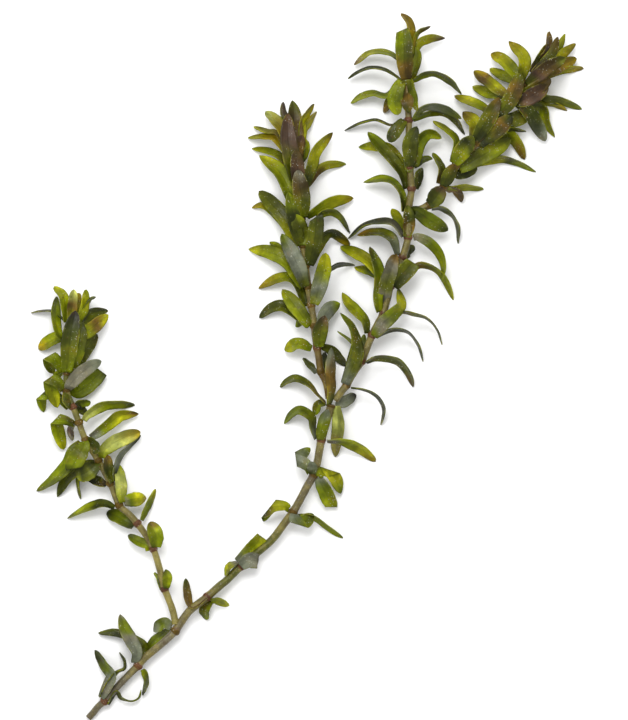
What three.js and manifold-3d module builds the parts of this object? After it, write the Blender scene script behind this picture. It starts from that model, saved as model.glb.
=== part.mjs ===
// A cut, branched sprig of Canadian waterweed, wilted and lying on a flat surface.
//
// Units are millimetres. The surface is z = 0, +Z is up, +Y runs from the cut end towards the shoot
// tips, and the origin is the middle of the sprig's own rectangle on the surface.
//
// The stem is one solid for each stretch between two forks. Each whorl is the ring where its leaves
// meet around the stem with those leaves. The crowded young whorls at a shoot's end are one tip.

import * as THREE from "three";
import { mergeVertices } from "three/addons/utils/BufferGeometryUtils.js";
import Module from "manifold-3d";

const wasm = await Module();
wasm.setup();

// Driving dimensions
const MAIN_STEM_RADIUS = 0.6;
const SHOOT_STEM_RADIUS = 0.54;
const STEM_SIDES = 6;
const STEM_STEP = 4.2; // length of one straight length of stem
const RING_WALL = 0.34; // height of the ridge around the stem that a whorl's leaves grow from
const RING_LENGTH = 0.8;
const CLEARANCE = 0.06; // between two pieces that touch
const LEAF_THICKNESS = 0.36; // at the midrib; the edges are sharp
const LEAF_STEP = 3.8; // length of one flat length of leaf
const SURFACE = 0.02; // the lowest that a leaf's edge may lie
const FINEST = 0.004; // corners nearer than this are one

// How wide a leaf is along its length, as a share of its greatest width
const LEAF_OUTLINE = [[0, 0.35], [0.15, 0.82], [0.4, 1], [0.65, 0.95], [0.85, 0.64], [1, 0]];

// Stems, from root to tip: x, y, z of points on the centre line
const MAIN_STEM_LOWER = [
  [-32.75, -52.6, 0.62], [-32.1, -51.9, 0.75], [-31.3, -50.9, 0.95], [-30.3, -50.0, 1.2], [-28.6, -48.1, 1.4],
  [-26.7, -46.1, 1.6], [-25.3, -44.7, 1.7], [-24.0, -43.3, 1.8], [-22.4, -42.0, 1.9], [-20.8, -40.6, 2.0],
  [-19.7, -39.5, 2.0],
];
const MAIN_STEM_UPPER = [
  [-19.6, -39.3, 2.0], [-18.0, -37.0, 2.0], [-17.0, -36.0, 2.0], [-14.9, -34.4, 2.0], [-13.0, -32.7, 2.0],
  [-12.0, -31.9, 2.0], [-9.9, -29.8, 2.0], [-7.0, -27.4, 2.0], [-5.1, -25.7, 2.0], [-3.3, -23.3, 2.1],
  [-2.1, -21.7, 2.2], [-1.1, -20.0, 2.2], [0.0, -17.9, 2.3], [1.0, -16.1, 2.3], [1.6, -14.0, 2.4],
  [2.1, -11.1, 2.5], [2.9, -8.3, 2.6], [3.6, -5.6, 2.8],
];
const LEFT_STEM = [
  [-19.7, -38.5, 2.1], [-19.9, -37.2, 2.1], [-20.3, -35.8, 2.2], [-20.8, -34.5, 2.2], [-21.3, -33.2, 2.2],
  [-21.7, -31.5, 2.3], [-22.1, -30.0, 2.3], [-22.5, -28.6, 2.4], [-23.0, -27.2, 2.4], [-24.0, -25.3, 2.4],
  [-25.4, -23.4, 2.4], [-26.6, -22.0, 2.5], [-28.1, -20.6, 2.5],
  [-29.4, -17.4, 2.6], [-31.2, -14.0, 2.7], [-33.1, -10.9, 2.8], [-34.1, -8.3, 2.9], [-35.0, -5.9, 3.0],
  [-36.0, -3.4, 3.0], [-35.9, -0.8, 3.1], [-35.6, 3.0, 3.1], [-35.2, 6.6, 3.1],
];
const MIDDLE_STEM = [
  [3.3, -4.7, 2.9], [2.9, -2.4, 2.9], [2.1, -0.7, 2.9], [1.8, 1.2, 3.0], [1.5, 2.9, 3.0],
  [1.2, 4.8, 3.1], [1.0, 7.0, 3.1], [0.6, 9.4, 3.1], [0.2, 12.0, 3.1], [-0.2, 15.1, 3.2],
  [-0.6, 18.4, 3.2], [-0.8, 22.3, 3.2], [-1.1, 26.6, 3.2], [-1.5, 30.6, 3.2],
];
const RIGHT_STEM_LOWER = [
  [4.2, -5.0, 2.8], [5.0, -3.9, 2.9], [5.9, -2.7, 2.9], [7.1, -0.7, 3.0], [8.2, 0.9, 3.0],
  [9.0, 2.9, 3.1], [9.7, 4.7, 3.1], [10.6, 6.5, 3.2], [11.4, 8.0, 3.2], [12.0, 10.1, 3.3],
  [12.5, 12.1, 3.3], [13.4, 14.2, 3.4], [14.3, 16.4, 3.4], [14.8, 18.0, 3.5], [15.1, 19.4, 3.5],
  [15.2, 21.3, 3.6], [15.1, 23.2, 3.6],
];
const RIGHT_STEM_UPPER = [
  [15.1, 23.3, 3.6], [15.4, 25.0, 3.7], [15.6, 26.6, 3.7], [15.5, 28.3, 3.8], [15.4, 29.9, 3.8],
  [15.2, 33.4, 3.9], [15.2, 36.9, 3.9], [15.0, 40.0, 4.0], [14.9, 42.9, 4.0], [14.8, 46.0, 4.1],
];
const SIDE_STEM = [
  [16.1, 23.4, 3.7], [17.5, 23.8, 3.8], [19.2, 25.0, 3.9], [20.4, 27.0, 4.0], [21.4, 29.0, 4.0],
  [23.2, 31.2, 4.0], [25.5, 33.6, 4.0], [27.4, 36.0, 4.0], [29.4, 38.6, 4.0], [31.6, 41.2, 4.0],
  [33.9, 43.5, 3.9],
];

// Whorls: a name, the node's place on the stem, and the leaves. A leaf is its width, its roll about the
// midrib at the root and at the tip in degrees (0 shows its face to the sky, 90 its edge), and the x, y, z
// of points on its midrib after the root.
const MAIN_WHORLS = [
  ["main_whorl_1", [-30.3, -50.0], [
    [2.0, -20, -45, [-29.7, -47.4, 2.6], [-29.3, -46.1, 2.8], [-30.4, -44.6, 1.8], [-31.9, -42.45, 0.2]],
    [1.8, 68, 76, [-28.9, -46.0, 2.4], [-27.4, -45.1, 2.2], [-27.4, -43.9, 1.4], [-28.1, -42.75, 0.2]],
    [1.7, 60, 66, [-28.8, -49.2, 2.0], [-27.2, -49.5, 1.8], [-25.9, -49.5, 1.2], [-25.0, -48.9, 0.2]],
  ]],
  ["main_whorl_2", [-25.3, -44.7], [
    [2.1, 20, 30, [-25.4, -42.7, 3.0], [-26.2, -41.0, 3.1], [-27.2, -39.2, 2.4], [-28.0, -37.0, 1.3]],
    [1.9, 50, 55, [-24.3, -42.1, 1.0], [-25.6, -40.8, 0.9], [-28.5, -39.8, 0.7], [-31.3, -39.85, 0.2]],
    [1.8, 52, 62, [-24.5, -46.4, 1.4], [-24.95, -49.0, 0.2]],
  ]],
  ["main_whorl_3", [-19.8, -39.5], [
    [1.9, 30, 30, [-21.2, -38.3, 2.8], [-22.1, -38.7, 2.4], [-23.0, -39.6, 1.6]],
    [1.8, 46, 50, [-22.2, -40.4, 1.0], [-23.3, -41.4, 0.7], [-24.0, -42.9, 0.2]],
  ]],
  ["main_whorl_4", [-14.9, -34.4], [
    [1.9, 54, 54, [-13.3, -35.0, 2.2], [-11.85, -35.9, 1.0]],
    [1.9, 41, 41, [-15.35, -36.4, 1.5], [-15.25, -37.9, 0.2]],
    [1.9, 40, 50, [-17.4, -35.2, 2.8], [-17.8, -33.5, 1.9], [-18.15, -31.65, 0.2]],
  ]],
  ["main_whorl_5", [-9.9, -29.7], [
    [1.8, 60, 60, [-11.6, -29.8, 2.6], [-12.35, -31.2, 1.6]],
    [2.1, 10, 10, [-8.7, -28.9, 3.2], [-7.2, -29.1, 2.6]],
    [1.9, 46, 46, [-8.6, -27.5, 1.6], [-7.5, -26.6, 1.5], [-6.5, -24.4, 1.0]],
  ]],
  ["main_whorl_6", [-2.1, -21.7], [
    [1.9, 41, 25, [-3.6, -20.9, 3.4], [-5.4, -21.1, 3.0], [-6.2, -21.9, 1.9], [-6.5, -23.2, 0.2]],
    [1.7, 20, 20, [-1.9, -23.0, 3.3], [-1.1, -23.8, 3.2], [0.1, -23.0, 2.9], [1.1, -21.9, 2.1]],
    [1.8, 60, 60, [1.0, -22.5, 1.7], [3.2, -24.1, 1.3], [5.4, -25.7, 0.2]],
  ]],
  ["main_whorl_7", [1.0, -16.1], [
    [1.9, 36, 36, [-0.4, -14.6, 3.4], [-1.7, -14.1, 3.2], [-1.2, -12.9, 2.2], [0.5, -12.1, 1.4]],
    [1.9, 46, 46, [3.3, -15.9, 2.9], [4.5, -17.0, 2.2], [5.0, -18.4, 1.4], [5.3, -19.7, 0.2]],
    [2.0, 31, 31, [2.8, -18.3, 1.8], [4.0, -21.2, 0.2]],
  ]],
  ["main_whorl_8", [2.1, -11.0], [
    [1.9, 54, 46, [0.9, -9.0, 3.4], [0.7, -7.6, 3.4], [-0.9, -6.5, 2.6], [-2.3, -7.0, 1.5],
      [-3.5, -8.5, 0.2]],
    [2.0, 25, 25, [2.4, -8.7, 4.0], [3.1, -6.3, 4.4]],
    [2.0, 60, 35, [5.4, -11.2, 2.8], [8.0, -12.3, 1.8], [10.3, -14.2, 0.2]],
  ]],
  ["main_whorl_9", [3.6, -5.6], [
    [1.8, 72, 54, [1.4, -3.9, 3.0], [0.1, -2.5, 2.6], [-1.6, -1.75, 2.0], [-3.0, -2.1, 1.1],
      [-4.1, -3.0, 0.2]],
    [2.1, 17, 36, [4.7, -9.0, 2.4], [4.4, -11.2, 1.3], [4.2, -13.5, 0.2]],
    [2.0, 48, 40, [3.7, -3.4, 4.4], [3.5, -1.0, 4.7], [3.7, 2.9, 4.4]],
  ]],
];
const LEFT_WHORLS = [
  ["left_whorl_1", [-21.3, -33.2], [
    [1.7, 54, 50, [-20.9, -31.6, 2.8], [-21.15, -30.1, 3.2]],
    [1.8, 72, 72, [-22.2, -31.8, 1.7], [-22.75, -30.75, 1.0]],
  ]],
  ["left_whorl_2", [-23.0, -27.2], [
    [2.3, 10, 15, [-22.7, -25.2, 3.6], [-23.5, -23.1, 3.6]],
    [1.9, 50, 50, [-25.0, -26.1, 1.8], [-27.0, -25.05, 0.2]],
  ]],
  ["left_whorl_3", [-25.3, -23.4], [
    [1.8, 62, 60, [-23.9, -20.8, 1.7], [-22.65, -18.3, 0.2]],
    [2.2, 20, 20, [-27.9, -22.6, 1.5], [-30.0, -21.7, 0.2]],
  ]],
  ["left_whorl_4", [-28.0, -20.6], [
    [2.2, 15, 15, [-25.9, -19.8, 3.2], [-24.0, -19.6, 2.7]],
    [1.9, 50, 65, [-30.4, -20.4, 2.7], [-32.5, -20.95, 1.9], [-36.0, -22.65, 0.2]],
    [2.0, 30, 30, [-27.7, -18.4, 3.7], [-27.9, -16.4, 2.8], [-28.5, -14.2, 1.6]],
  ]],
  ["left_whorl_5", [-29.4, -17.4], [
    [1.8, 68, 68, [-28.7, -15.3, 3.4], [-27.8, -13.0, 2.2], [-24.9, -10.25, 0.2]],
    [1.8, 40, 40, [-31.2, -17.2, 1.8], [-33.0, -16.4, 0.3]],
    [1.9, 46, 40, [-29.7, -14.9, 4.4], [-29.7, -13.1, 4.5]],
  ]],
  ["left_whorl_6", [-31.2, -14.0], [
    [2.3, 5, 15, [-30.2, -12.4, 3.4], [-28.2, -11.0, 2.9], [-24.9, -9.7, 2.0]],
    [2.0, 41, 41, [-33.0, -14.6, 1.6], [-35.0, -15.9, 1.3], [-36.3, -17.2, 1.0], [-37.5, -19.5, 0.2]],
    [1.8, 75, 75, [-34.2, -16.4, 0.9], [-34.0, -19.8, 0.2]],
  ]],
  ["left_whorl_7", [-33.1, -10.9], [
    [2.2, 20, 46, [-35.0, -12.6, 3.6], [-35.9, -14.8, 2.8], [-38.2, -17.0, 1.6], [-40.6, -18.6, 0.2]],
    [1.9, 54, 54, [-31.3, -9.7, 2.8], [-29.4, -8.3, 2.2], [-27.85, -7.2, 1.6], [-25.2, -7.05, 0.2]],
  ]],
  ["left_whorl_8", [-34.1, -8.3], [
    [2.1, 40, 15, [-36.4, -7.6, 3.9], [-37.7, -8.3, 3.4], [-37.6, -9.8, 2.2], [-36.6, -12.45, 1.0]],
    [2.0, 45, 50, [-32.65, -7.1, 3.2], [-30.55, -5.85, 2.4], [-28.3, -5.6, 1.4], [-25.8, -5.75, 0.2]],
  ]],
  ["left_whorl_9", [-35.0, -5.9], [
    [1.9, 36, 28, [-37.6, -4.2, 2.4], [-39.2, -4.0, 2.6], [-39.8, -4.9, 2.0], [-39.4, -6.8, 0.2]],
    [1.9, 54, 54, [-35.9, -5.1, 4.2], [-36.3, -3.8, 4.6]],
  ]],
  ["left_whorl_10", [-36.0, -3.4], [
    [2.1, 30, 10, [-37.2, -1.7, 4.2], [-38.6, -2.1, 4.2], [-38.4, -3.8, 2.6], [-37.5, -6.1, 1.4]],
    [2.1, 25, 25, [-34.2, -1.2, 4.2], [-32.7, -0.2, 3.9], [-31.0, 0.7, 3.0]],
    [2.2, 15, 15, [-34.1, -3.7, 1.9], [-32.3, -2.3, 1.5], [-30.2, -0.7, 1.0]],
  ]],
  ["left_whorl_11", [-35.8, -0.8], [
    [1.9, 36, 36, [-37.1, 0.8, 3.6], [-38.1, 1.3, 3.2], [-38.6, 0.4, 2.2], [-38.2, -0.95, 1.4]],
    [2.2, 8, 8, [-35.4, 4.0, 5.2], [-34.6, 8.3, 5.0]],
    [2.1, 25, 25, [-34.2, 0.8, 2.4], [-33.0, 2.7, 2.0], [-31.4, 4.9, 1.4]],
  ]],
  ["left_whorl_12", [-35.4, 4.2], [
    [2.1, 20, 20, [-33.5, 4.8, 3.9], [-31.8, 6.1, 3.1], [-29.7, 7.85, 1.9]],
    [1.9, 40, 40, [-33.6, 6.6, 1.6], [-32.1, 8.1, 1.2], [-29.8, 8.4, 0.2]],
    [2.0, 50, 46, [-37.1, 5.2, 3.6], [-37.5, 7.2, 3.0], [-37.4, 10.6, 1.4]],
    [2.1, 25, 25, [-37.5, 4.3, 1.8], [-38.8, 3.7, 1.3], [-40.3, 2.7, 0.2]],
  ]],
  ["left_tip", [-35.2, 7.2], [
    [1.5, 75, 78, [-38.0, 8.3, 1.4], [-39.5, 8.45, 1.0], [-41.4, 8.2, 0.2]],
    [1.9, 50, 50, [-33.4, 8.6, 3.4], [-33.0, 11.6, 2.4]],
    [1.9, 46, 46, [-36.3, 10.4, 3.6], [-37.8, 12.1, 2.6]],
    [1.6, 20, 20, [-34.9, 10.3, 4.0], [-34.8, 11.6, 3.6]],
  ]],
];
const MIDDLE_WHORLS = [
  ["middle_whorl_1", [2.1, -0.7], [
    [1.7, 60, 60, [0.6, 0.1, 2.4], [-0.55, 1.4, 1.4]],
    [1.7, 50, 50, [2.6, 0.6, 1.7], [2.8, 2.2, 0.4]],
  ]],
  ["middle_whorl_2", [1.5, 2.9], [
    [2.1, 36, 31, [-1.2, 3.5, 3.0], [-3.4, 2.65, 1.0]],
    [2.0, 41, 41, [3.9, 2.3, 2.4], [5.7, 0.1, 0.2]],
    [2.3, 14, 17, [2.0, 5.2, 4.8], [2.7, 7.7, 5.0]],
  ]],
  ["middle_whorl_3", [1.1, 6.2], [
    [2.3, 10, 20, [-0.9, 8.0, 4.0], [-2.3, 9.9, 3.6], [-3.7, 11.6, 2.8]],
    [2.0, 36, 36, [-3.1, 8.9, 1.6], [-5.2, 8.9, 1.2], [-7.2, 7.4, 0.2]],
    [2.2, 8, 15, [3.2, 8.5, 3.2], [5.0, 9.5, 2.2]],
  ]],
  ["middle_whorl_4", [0.7, 9.2], [
    [2.4, 5, 8, [1.8, 11.8, 5.4], [2.5, 14.4, 5.8], [2.8, 17.0, 6.4]],
    [1.8, 70, 70, [3.0, 13.8, 2.6], [4.2, 15.0, 2.2], [5.4, 15.3, 1.6], [7.2, 15.2, 0.2]],
    [2.0, 41, 41, [-1.9, 12.9, 2.1], [-4.2, 13.3, 1.6], [-7.3, 11.8, 0.2]],
  ]],
  ["middle_whorl_5", [0.2, 12.0], [
    [2.4, 5, 10, [-1.2, 14.8, 4.8], [-2.3, 17.2, 4.4], [-3.8, 19.9, 3.4]],
    [2.3, 12, 15, [-2.8, 15.6, 2.8], [-5.5, 17.2, 2.0], [-8.8, 17.7, 0.2]],
  ]],
  ["middle_whorl_6", [-0.2, 15.1], [
    [2.5, 2, 2, [1.1, 18.6, 5.0], [1.7, 22.7, 5.2]],
    [2.0, 45, 41, [2.2, 19.0, 3.2], [4.0, 20.0, 2.6], [6.4, 18.2, 0.2]],
  ]],
  ["middle_whorl_7", [-0.6, 18.2], [
    [2.2, 17, 17, [-1.6, 20.7, 4.8], [-2.2, 23.6, 5.4], [-2.8, 26.1, 5.4]],
    [2.4, 5, 10, [-3.2, 22.0, 2.8], [-5.2, 24.4, 2.0], [-7.2, 26.4, 0.2]],
    [1.7, 46, 46, [-4.9, 23.0, 1.0], [-6.7, 24.2, 0.7], [-8.3, 23.9, 0.2]],
    [1.8, 65, 60, [1.6, 22.2, 3.2], [3.4, 23.2, 3.0], [5.0, 22.4, 2.2], [6.4, 20.0, 0.2]],
  ]],
  ["middle_whorl_8", [-0.8, 22.3], [
    [2.0, 41, 28, [1.5, 23.4, 3.9], [4.0, 24.7, 2.8], [7.0, 25.3, 1.0]],
    [2.3, 10, 15, [-2.6, 26.4, 4.0], [-4.2, 29.4, 3.4], [-7.2, 31.7, 1.6]],
  ]],
  ["middle_whorl_9", [-1.1, 26.6], [
    [2.1, 25, 45, [0.6, 29.6, 4.6], [1.5, 32.3, 3.8], [3.9, 35.1, 2.0]],
    [1.9, 50, 50, [1.3, 29.2, 2.4], [3.2, 30.3, 1.8], [5.9, 30.4, 0.2]],
    [2.1, 17, 17, [-2.6, 31.0, 5.2], [-3.1, 34.5, 5.2], [-3.05, 37.9, 4.6]],
    [1.9, 50, 50, [-3.7, 31.0, 1.8], [-5.6, 32.3, 1.2], [-8.3, 32.8, 0.2]],
  ]],
  ["middle_tip", [-1.5, 31.0], [
    [1.9, 25, 30, [-1.3, 32.4, 4.6], [-0.7, 34.6, 4.8]],
    [1.8, 60, 60, [-4.5, 33.9, 2.8], [-6.5, 34.5, 2.0], [-8.9, 34.4, 0.2]],
    [1.8, 62, 62, [-4.3, 34.7, 1.7], [-6.0, 35.3, 1.2], [-8.0, 36.1, 0.2]],
    [2.1, 36, 25, [-3.4, 35.2, 3.4], [-4.9, 37.1, 2.8], [-6.2, 38.3, 1.6]],
    [2.1, 31, 25, [-1.7, 36.2, 3.8], [-1.9, 38.0, 3.5], [-2.4, 39.8, 2.8]],
    [1.8, 56, 56, [-0.7, 36.2, 3.0], [0.0, 37.8, 2.4], [1.15, 39.4, 1.4]],
    [1.8, 56, 56, [-0.5, 35.0, 2.4], [0.3, 36.5, 1.8], [1.5, 38.3, 0.2]],
  ]],
];
const RIGHT_WHORLS = [
  ["right_whorl_1", [5.9, -2.7], [
    [2.3, 10, 55, [6.4, -0.9, 4.4], [7.2, 1.2, 4.9], [7.4, 3.4, 4.8], [6.7, 5.9, 4.4], [5.0, 8.1, 3.9]],
    [1.7, 78, 76, [8.4, -3.4, 3.0], [10.1, -4.1, 2.6], [11.2, -5.4, 2.0], [11.5, -6.8, 1.4],
      [11.0, -8.7, 0.2]],
  ]],
  ["right_whorl_2", [8.2, 0.9], [
    [1.9, 62, 55, [10.2, 1.25, 4.2], [12.2, 1.25, 4.0], [13.9, 0.6, 3.2], [15.2, -1.1, 2.0],
      [15.9, -3.1, 0.2]],
  ]],
  ["right_whorl_3", [9.7, 4.7], [
    [2.0, 45, 36, [8.7, 6.9, 2.8], [7.4, 8.4, 2.4], [6.2, 9.7, 1.8], [5.3, 11.2, 1.0]],
    [2.3, 5, 45, [11.4, 6.5, 4.9], [12.9, 7.9, 4.8], [14.1, 9.3, 4.2], [13.7, 11.8, 3.0]],
    [1.7, 72, 78, [12.3, 5.4, 3.4], [13.8, 5.6, 3.4], [15.4, 4.9, 2.8], [16.7, 3.1, 1.6],
      [17.35, 0.8, 0.2]],
  ]],
  ["right_whorl_4", [11.4, 8.0], [
    [2.0, 36, 36, [10.6, 10.6, 4.7], [10.8, 14.3, 4.8], [9.4, 18.0, 3.6]],
    [1.7, 78, 78, [14.3, 8.15, 3.2], [16.0, 7.85, 3.2], [18.0, 7.2, 2.6], [19.5, 5.5, 1.6],
      [20.2, 3.3, 0.2]],
  ]],
  ["right_whorl_5", [12.5, 12.1], [
    [2.1, 31, 31, [12.5, 14.6, 5.0], [13.0, 16.8, 5.2]],
    [2.5, 2, 10, [14.5, 13.9, 4.4], [15.9, 15.9, 4.2]],
    [2.1, 31, 31, [9.7, 15.4, 2.8], [7.6, 16.9, 2.0], [5.0, 18.1, 0.2]],
    [1.9, 50, 50, [9.8, 14.2, 1.6], [7.1, 15.0, 0.2]],
    [1.8, 65, 55, [16.2, 15.0, 2.8], [18.0, 15.2, 2.8], [19.8, 14.2, 2.2], [21.0, 12.4, 1.5],
      [21.9, 10.0, 0.2]],
  ]],
  ["right_whorl_6", [14.3, 16.4], [
    [2.0, 46, 54, [13.0, 18.9, 4.2], [11.6, 20.0, 4.0], [9.6, 20.2, 3.2], [7.5, 19.75, 2.2]],
  ]],
  ["right_whorl_7", [15.1, 19.4], [
    [2.2, 15, 40, [17.6, 18.8, 3.8], [19.6, 17.0, 3.2], [20.4, 14.7, 3.0], [19.8, 12.1, 2.4]],
    [1.9, 55, 72, [12.9, 21.4, 4.0], [11.0, 21.75, 3.6], [8.6, 21.2, 2.4], [6.15, 19.3, 0.2]],
  ]],
  ["right_whorl_8", [15.1, 23.2], [
    [2.3, 15, 15, [16.4, 23.2, 4.9], [18.3, 21.9, 4.4], [21.1, 20.4, 2.6]],
    [1.9, 57, 54, [14.3, 25.6, 4.4], [13.1, 27.5, 4.2], [11.2, 28.2, 3.4], [8.4, 27.7, 1.6]],
  ]],
  ["right_whorl_9", [15.6, 26.6], [
    [2.1, 40, 25, [14.2, 29.1, 4.2], [12.2, 31.7, 4.0], [9.1, 35.2, 1.8]],
  ]],
  ["right_whorl_10", [15.4, 29.9], [
    [2.4, 5, 5, [15.4, 33.2, 5.6], [16.4, 35.9, 5.6]],
    [2.0, 31, 31, [16.8, 33.4, 4.0], [18.3, 34.8, 3.4], [20.15, 34.2, 2.6]],
    [2.0, 36, 36, [12.4, 32.4, 2.4], [10.3, 33.0, 1.6], [7.7, 33.0, 0.2]],
  ]],
  ["right_whorl_11", [15.2, 36.9], [
    [2.1, 20, 20, [13.4, 35.4, 4.9], [12.2, 33.6, 4.7]],
    [1.7, 80, 78, [12.6, 36.2, 2.7], [10.3, 36.95, 2.4], [8.0, 36.5, 1.8], [5.6, 35.5, 0.2]],
    [1.9, 60, 50, [16.7, 38.2, 4.6], [18.2, 38.9, 4.6], [20.6, 38.5, 3.8], [23.1, 37.1, 2.4]],
    [1.8, 60, 60, [18.2, 37.9, 2.8], [20.6, 38.0, 2.4], [22.3, 36.8, 1.6], [23.6, 34.8, 0.2]],
  ]],
  ["right_whorl_12", [14.9, 42.9], [
    [2.3, 5, 10, [13.5, 41.4, 4.8], [13.1, 39.6, 4.6], [13.6, 37.6, 4.4]],
    [1.7, 76, 76, [12.7, 43.8, 4.2], [11.3, 44.5, 4.0], [9.4, 44.7, 3.4], [7.6, 44.1, 2.4],
      [6.1, 43.2, 1.4]],
    [1.8, 58, 58, [12.0, 40.7, 2.6], [9.9, 41.0, 2.2], [8.0, 40.5, 1.6], [6.5, 39.6, 0.2]],
    [1.8, 60, 60, [16.1, 42.8, 3.8], [17.5, 43.6, 4.0], [19.2, 43.8, 3.6], [21.4, 42.7, 2.4],
      [23.1, 40.8, 1.2]],
    [2.4, 3, 3, [14.6, 46.8, 5.9], [14.5, 50.6, 6.2]],
  ]],
  ["right_tip", [14.8, 45.6], [
    [1.8, 60, 62, [12.6, 46.8, 3.4], [10.7, 47.2, 3.2], [8.9, 46.8, 2.4], [7.0, 45.3, 1.2]],
    [1.9, 50, 50, [16.6, 48.2, 3.0], [18.3, 49.1, 2.6], [20.7, 49.2, 1.4]],
    [1.7, 68, 68, [16.3, 49.6, 4.0], [18.5, 50.9, 2.8]],
    [1.8, 46, 46, [15.5, 49.6, 4.8], [15.2, 51.6, 4.2], [14.1, 52.9, 3.2]],
  ]],
];
const SIDE_WHORLS = [
  ["side_whorl_1", [18.2, 24.2], [
    [2.6, 8, 10, [18.9, 24.9, 4.9], [20.3, 26.8, 5.1]],
    [1.8, 68, 68, [20.0, 23.7, 3.4], [21.4, 22.9, 2.8], [22.5, 21.2, 1.8], [22.6, 18.5, 0.2]],
  ]],
  ["side_whorl_2", [20.4, 27.0], [
    [1.9, 46, 56, [20.1, 29.6, 3.8], [18.9, 32.1, 2.2]],
    [1.8, 64, 62, [23.5, 26.9, 2.2], [26.5, 26.6, 0.2]],
    [1.9, 50, 50, [22.4, 26.2, 1.8], [23.1, 24.7, 0.2]],
    [2.1, 15, 20, [21.2, 28.7, 5.2], [22.0, 30.2, 5.6]],
  ]],
  ["side_whorl_3", [22.2, 30.1], [
    [2.6, 8, 10, [23.1, 32.1, 5.2], [24.8, 34.4, 5.4]],
    [2.7, 5, 5, [25.2, 31.0, 3.4], [28.0, 32.6, 3.0], [30.6, 34.2, 2.0]],
    [1.9, 58, 62, [26.0, 30.7, 1.6], [29.0, 31.2, 1.5], [31.5, 30.6, 1.1], [34.3, 29.2, 0.2]],
    [1.9, 60, 58, [22.3, 33.7, 3.4], [21.0, 35.4, 2.8], [18.9, 36.9, 1.4]],
  ]],
  ["side_whorl_4", [25.4, 33.4], [
    [2.4, 10, 10, [27.0, 37.0, 5.6], [28.7, 40.2, 5.6]],
    [2.2, 15, 15, [25.2, 36.4, 2.8], [23.3, 38.2, 1.6]],
    [2.0, 30, 30, [29.6, 34.8, 1.5], [31.4, 33.6, 1.3], [32.6, 31.1, 0.2]],
    [1.7, 66, 70, [29.2, 35.5, 3.4], [32.8, 35.2, 1.6]],
  ]],
  ["side_whorl_5", [28.4, 37.3], [
    [2.4, 5, 5, [30.6, 40.3, 5.6], [31.8, 43.8, 5.8]],
    [1.9, 45, 45, [26.3, 38.9, 3.4], [24.4, 39.8, 2.6], [22.1, 40.7, 1.2]],
    [2.4, 8, 8, [31.0, 37.0, 3.2], [33.9, 38.2, 2.4]],
  ]],
  ["side_whorl_6", [30.6, 40.0], [
    [2.1, 25, 25, [28.3, 41.7, 3.6], [26.8, 43.0, 2.8], [25.0, 44.4, 1.4]],
    [2.0, 30, 30, [27.4, 41.1, 1.6], [24.8, 42.1, 0.2]],
    [2.3, 10, 10, [34.0, 41.4, 4.9], [36.4, 43.0, 4.8]],
    [2.2, 15, 20, [33.0, 38.2, 4.2], [34.3, 36.4, 3.0], [35.7, 33.8, 1.2]],
    [1.9, 50, 50, [35.0, 38.8, 1.5], [35.8, 36.5, 1.2], [37.1, 34.4, 0.2]],
  ]],
  ["side_whorl_7", [32.6, 42.2], [
    [2.1, 25, 25, [30.7, 44.4, 3.4], [29.3, 45.9, 2.6], [27.6, 47.0, 1.4]],
    [1.9, 36, 36, [29.8, 43.5, 1.5], [27.4, 44.8, 0.2]],
    [2.1, 20, 35, [32.4, 46.1, 4.4], [30.2, 48.8, 2.6]],
    [2.2, 10, 10, [36.0, 44.7, 5.8], [38.6, 46.1, 6.0]],
    [1.9, 54, 54, [35.8, 40.2, 2.6], [38.3, 39.8, 1.8], [41.2, 38.6, 0.2]],
    [1.7, 60, 60, [35.6, 39.8, 1.3], [37.4, 39.2, 0.9], [39.0, 38.4, 0.2]],
  ]],
  ["side_tip", [34.0, 43.6], [
    [1.9, 55, 55, [34.7, 46.1, 4.4], [36.1, 48.3, 3.6]],
    [1.8, 50, 50, [35.9, 47.0, 3.6], [36.3, 50.2, 2.6]],
    [1.9, 40, 40, [36.4, 46.6, 4.6], [37.5, 49.3, 4.2]],
    [1.9, 45, 45, [37.1, 45.9, 2.9], [40.3, 48.4, 1.4]],
    [2.1, 25, 25, [37.6, 44.9, 2.6], [40.4, 46.2, 1.4]],
    [1.8, 55, 55, [37.4, 44.2, 1.6], [39.8, 44.6, 1.0], [41.5, 44.7, 0.2]],
  ]],
];

// Colours
const STEM_GREEN = new THREE.MeshStandardMaterial({ color: 0x6f6a1f, roughness: 0.45, metalness: 0 });
const LEAF_GREEN = new THREE.MeshStandardMaterial({ color: 0x5a6420, roughness: 0.4, metalness: 0 });
const TIP_BROWN = new THREE.MeshStandardMaterial({ color: 0x4a4422, roughness: 0.4, metalness: 0 });

const curveThrough = (points) =>
  new THREE.CatmullRomCurve3(points.map((p) => new THREE.Vector3(...p)), false, "catmullrom", 0.5);

// A closed geometry as a solid that can be joined and cut
function solidOf(geometry) {
  geometry.deleteAttribute("normal");
  geometry.deleteAttribute("uv");
  const merged = mergeVertices(geometry, 1e-5);
  return new wasm.Manifold(new wasm.Mesh({
    numProp: 3,
    vertProperties: new Float32Array(merged.attributes.position.array),
    triVerts: new Uint32Array(merged.index.array),
  }));
}

// A solid as a geometry whose corners nearer than the finest detail are one, without the faces between them
function geometryOf(solid) {
  const { vertProperties, triVerts } = solid.getMesh();
  const geometry = new THREE.BufferGeometry();
  geometry.setAttribute("position", new THREE.BufferAttribute(vertProperties, 3));
  geometry.setIndex(new THREE.BufferAttribute(triVerts, 1));
  const welded = mergeVertices(geometry, FINEST);
  const corners = welded.index.array;
  const faces = [];
  for (let i = 0; i < corners.length; i += 3) {
    const [a, b, c] = corners.slice(i, i + 3);
    if (a !== b && b !== c && c !== a) faces.push(a, b, c);
  }
  welded.setIndex(faces);
  welded.computeVertexNormals();
  return welded;
}

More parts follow.
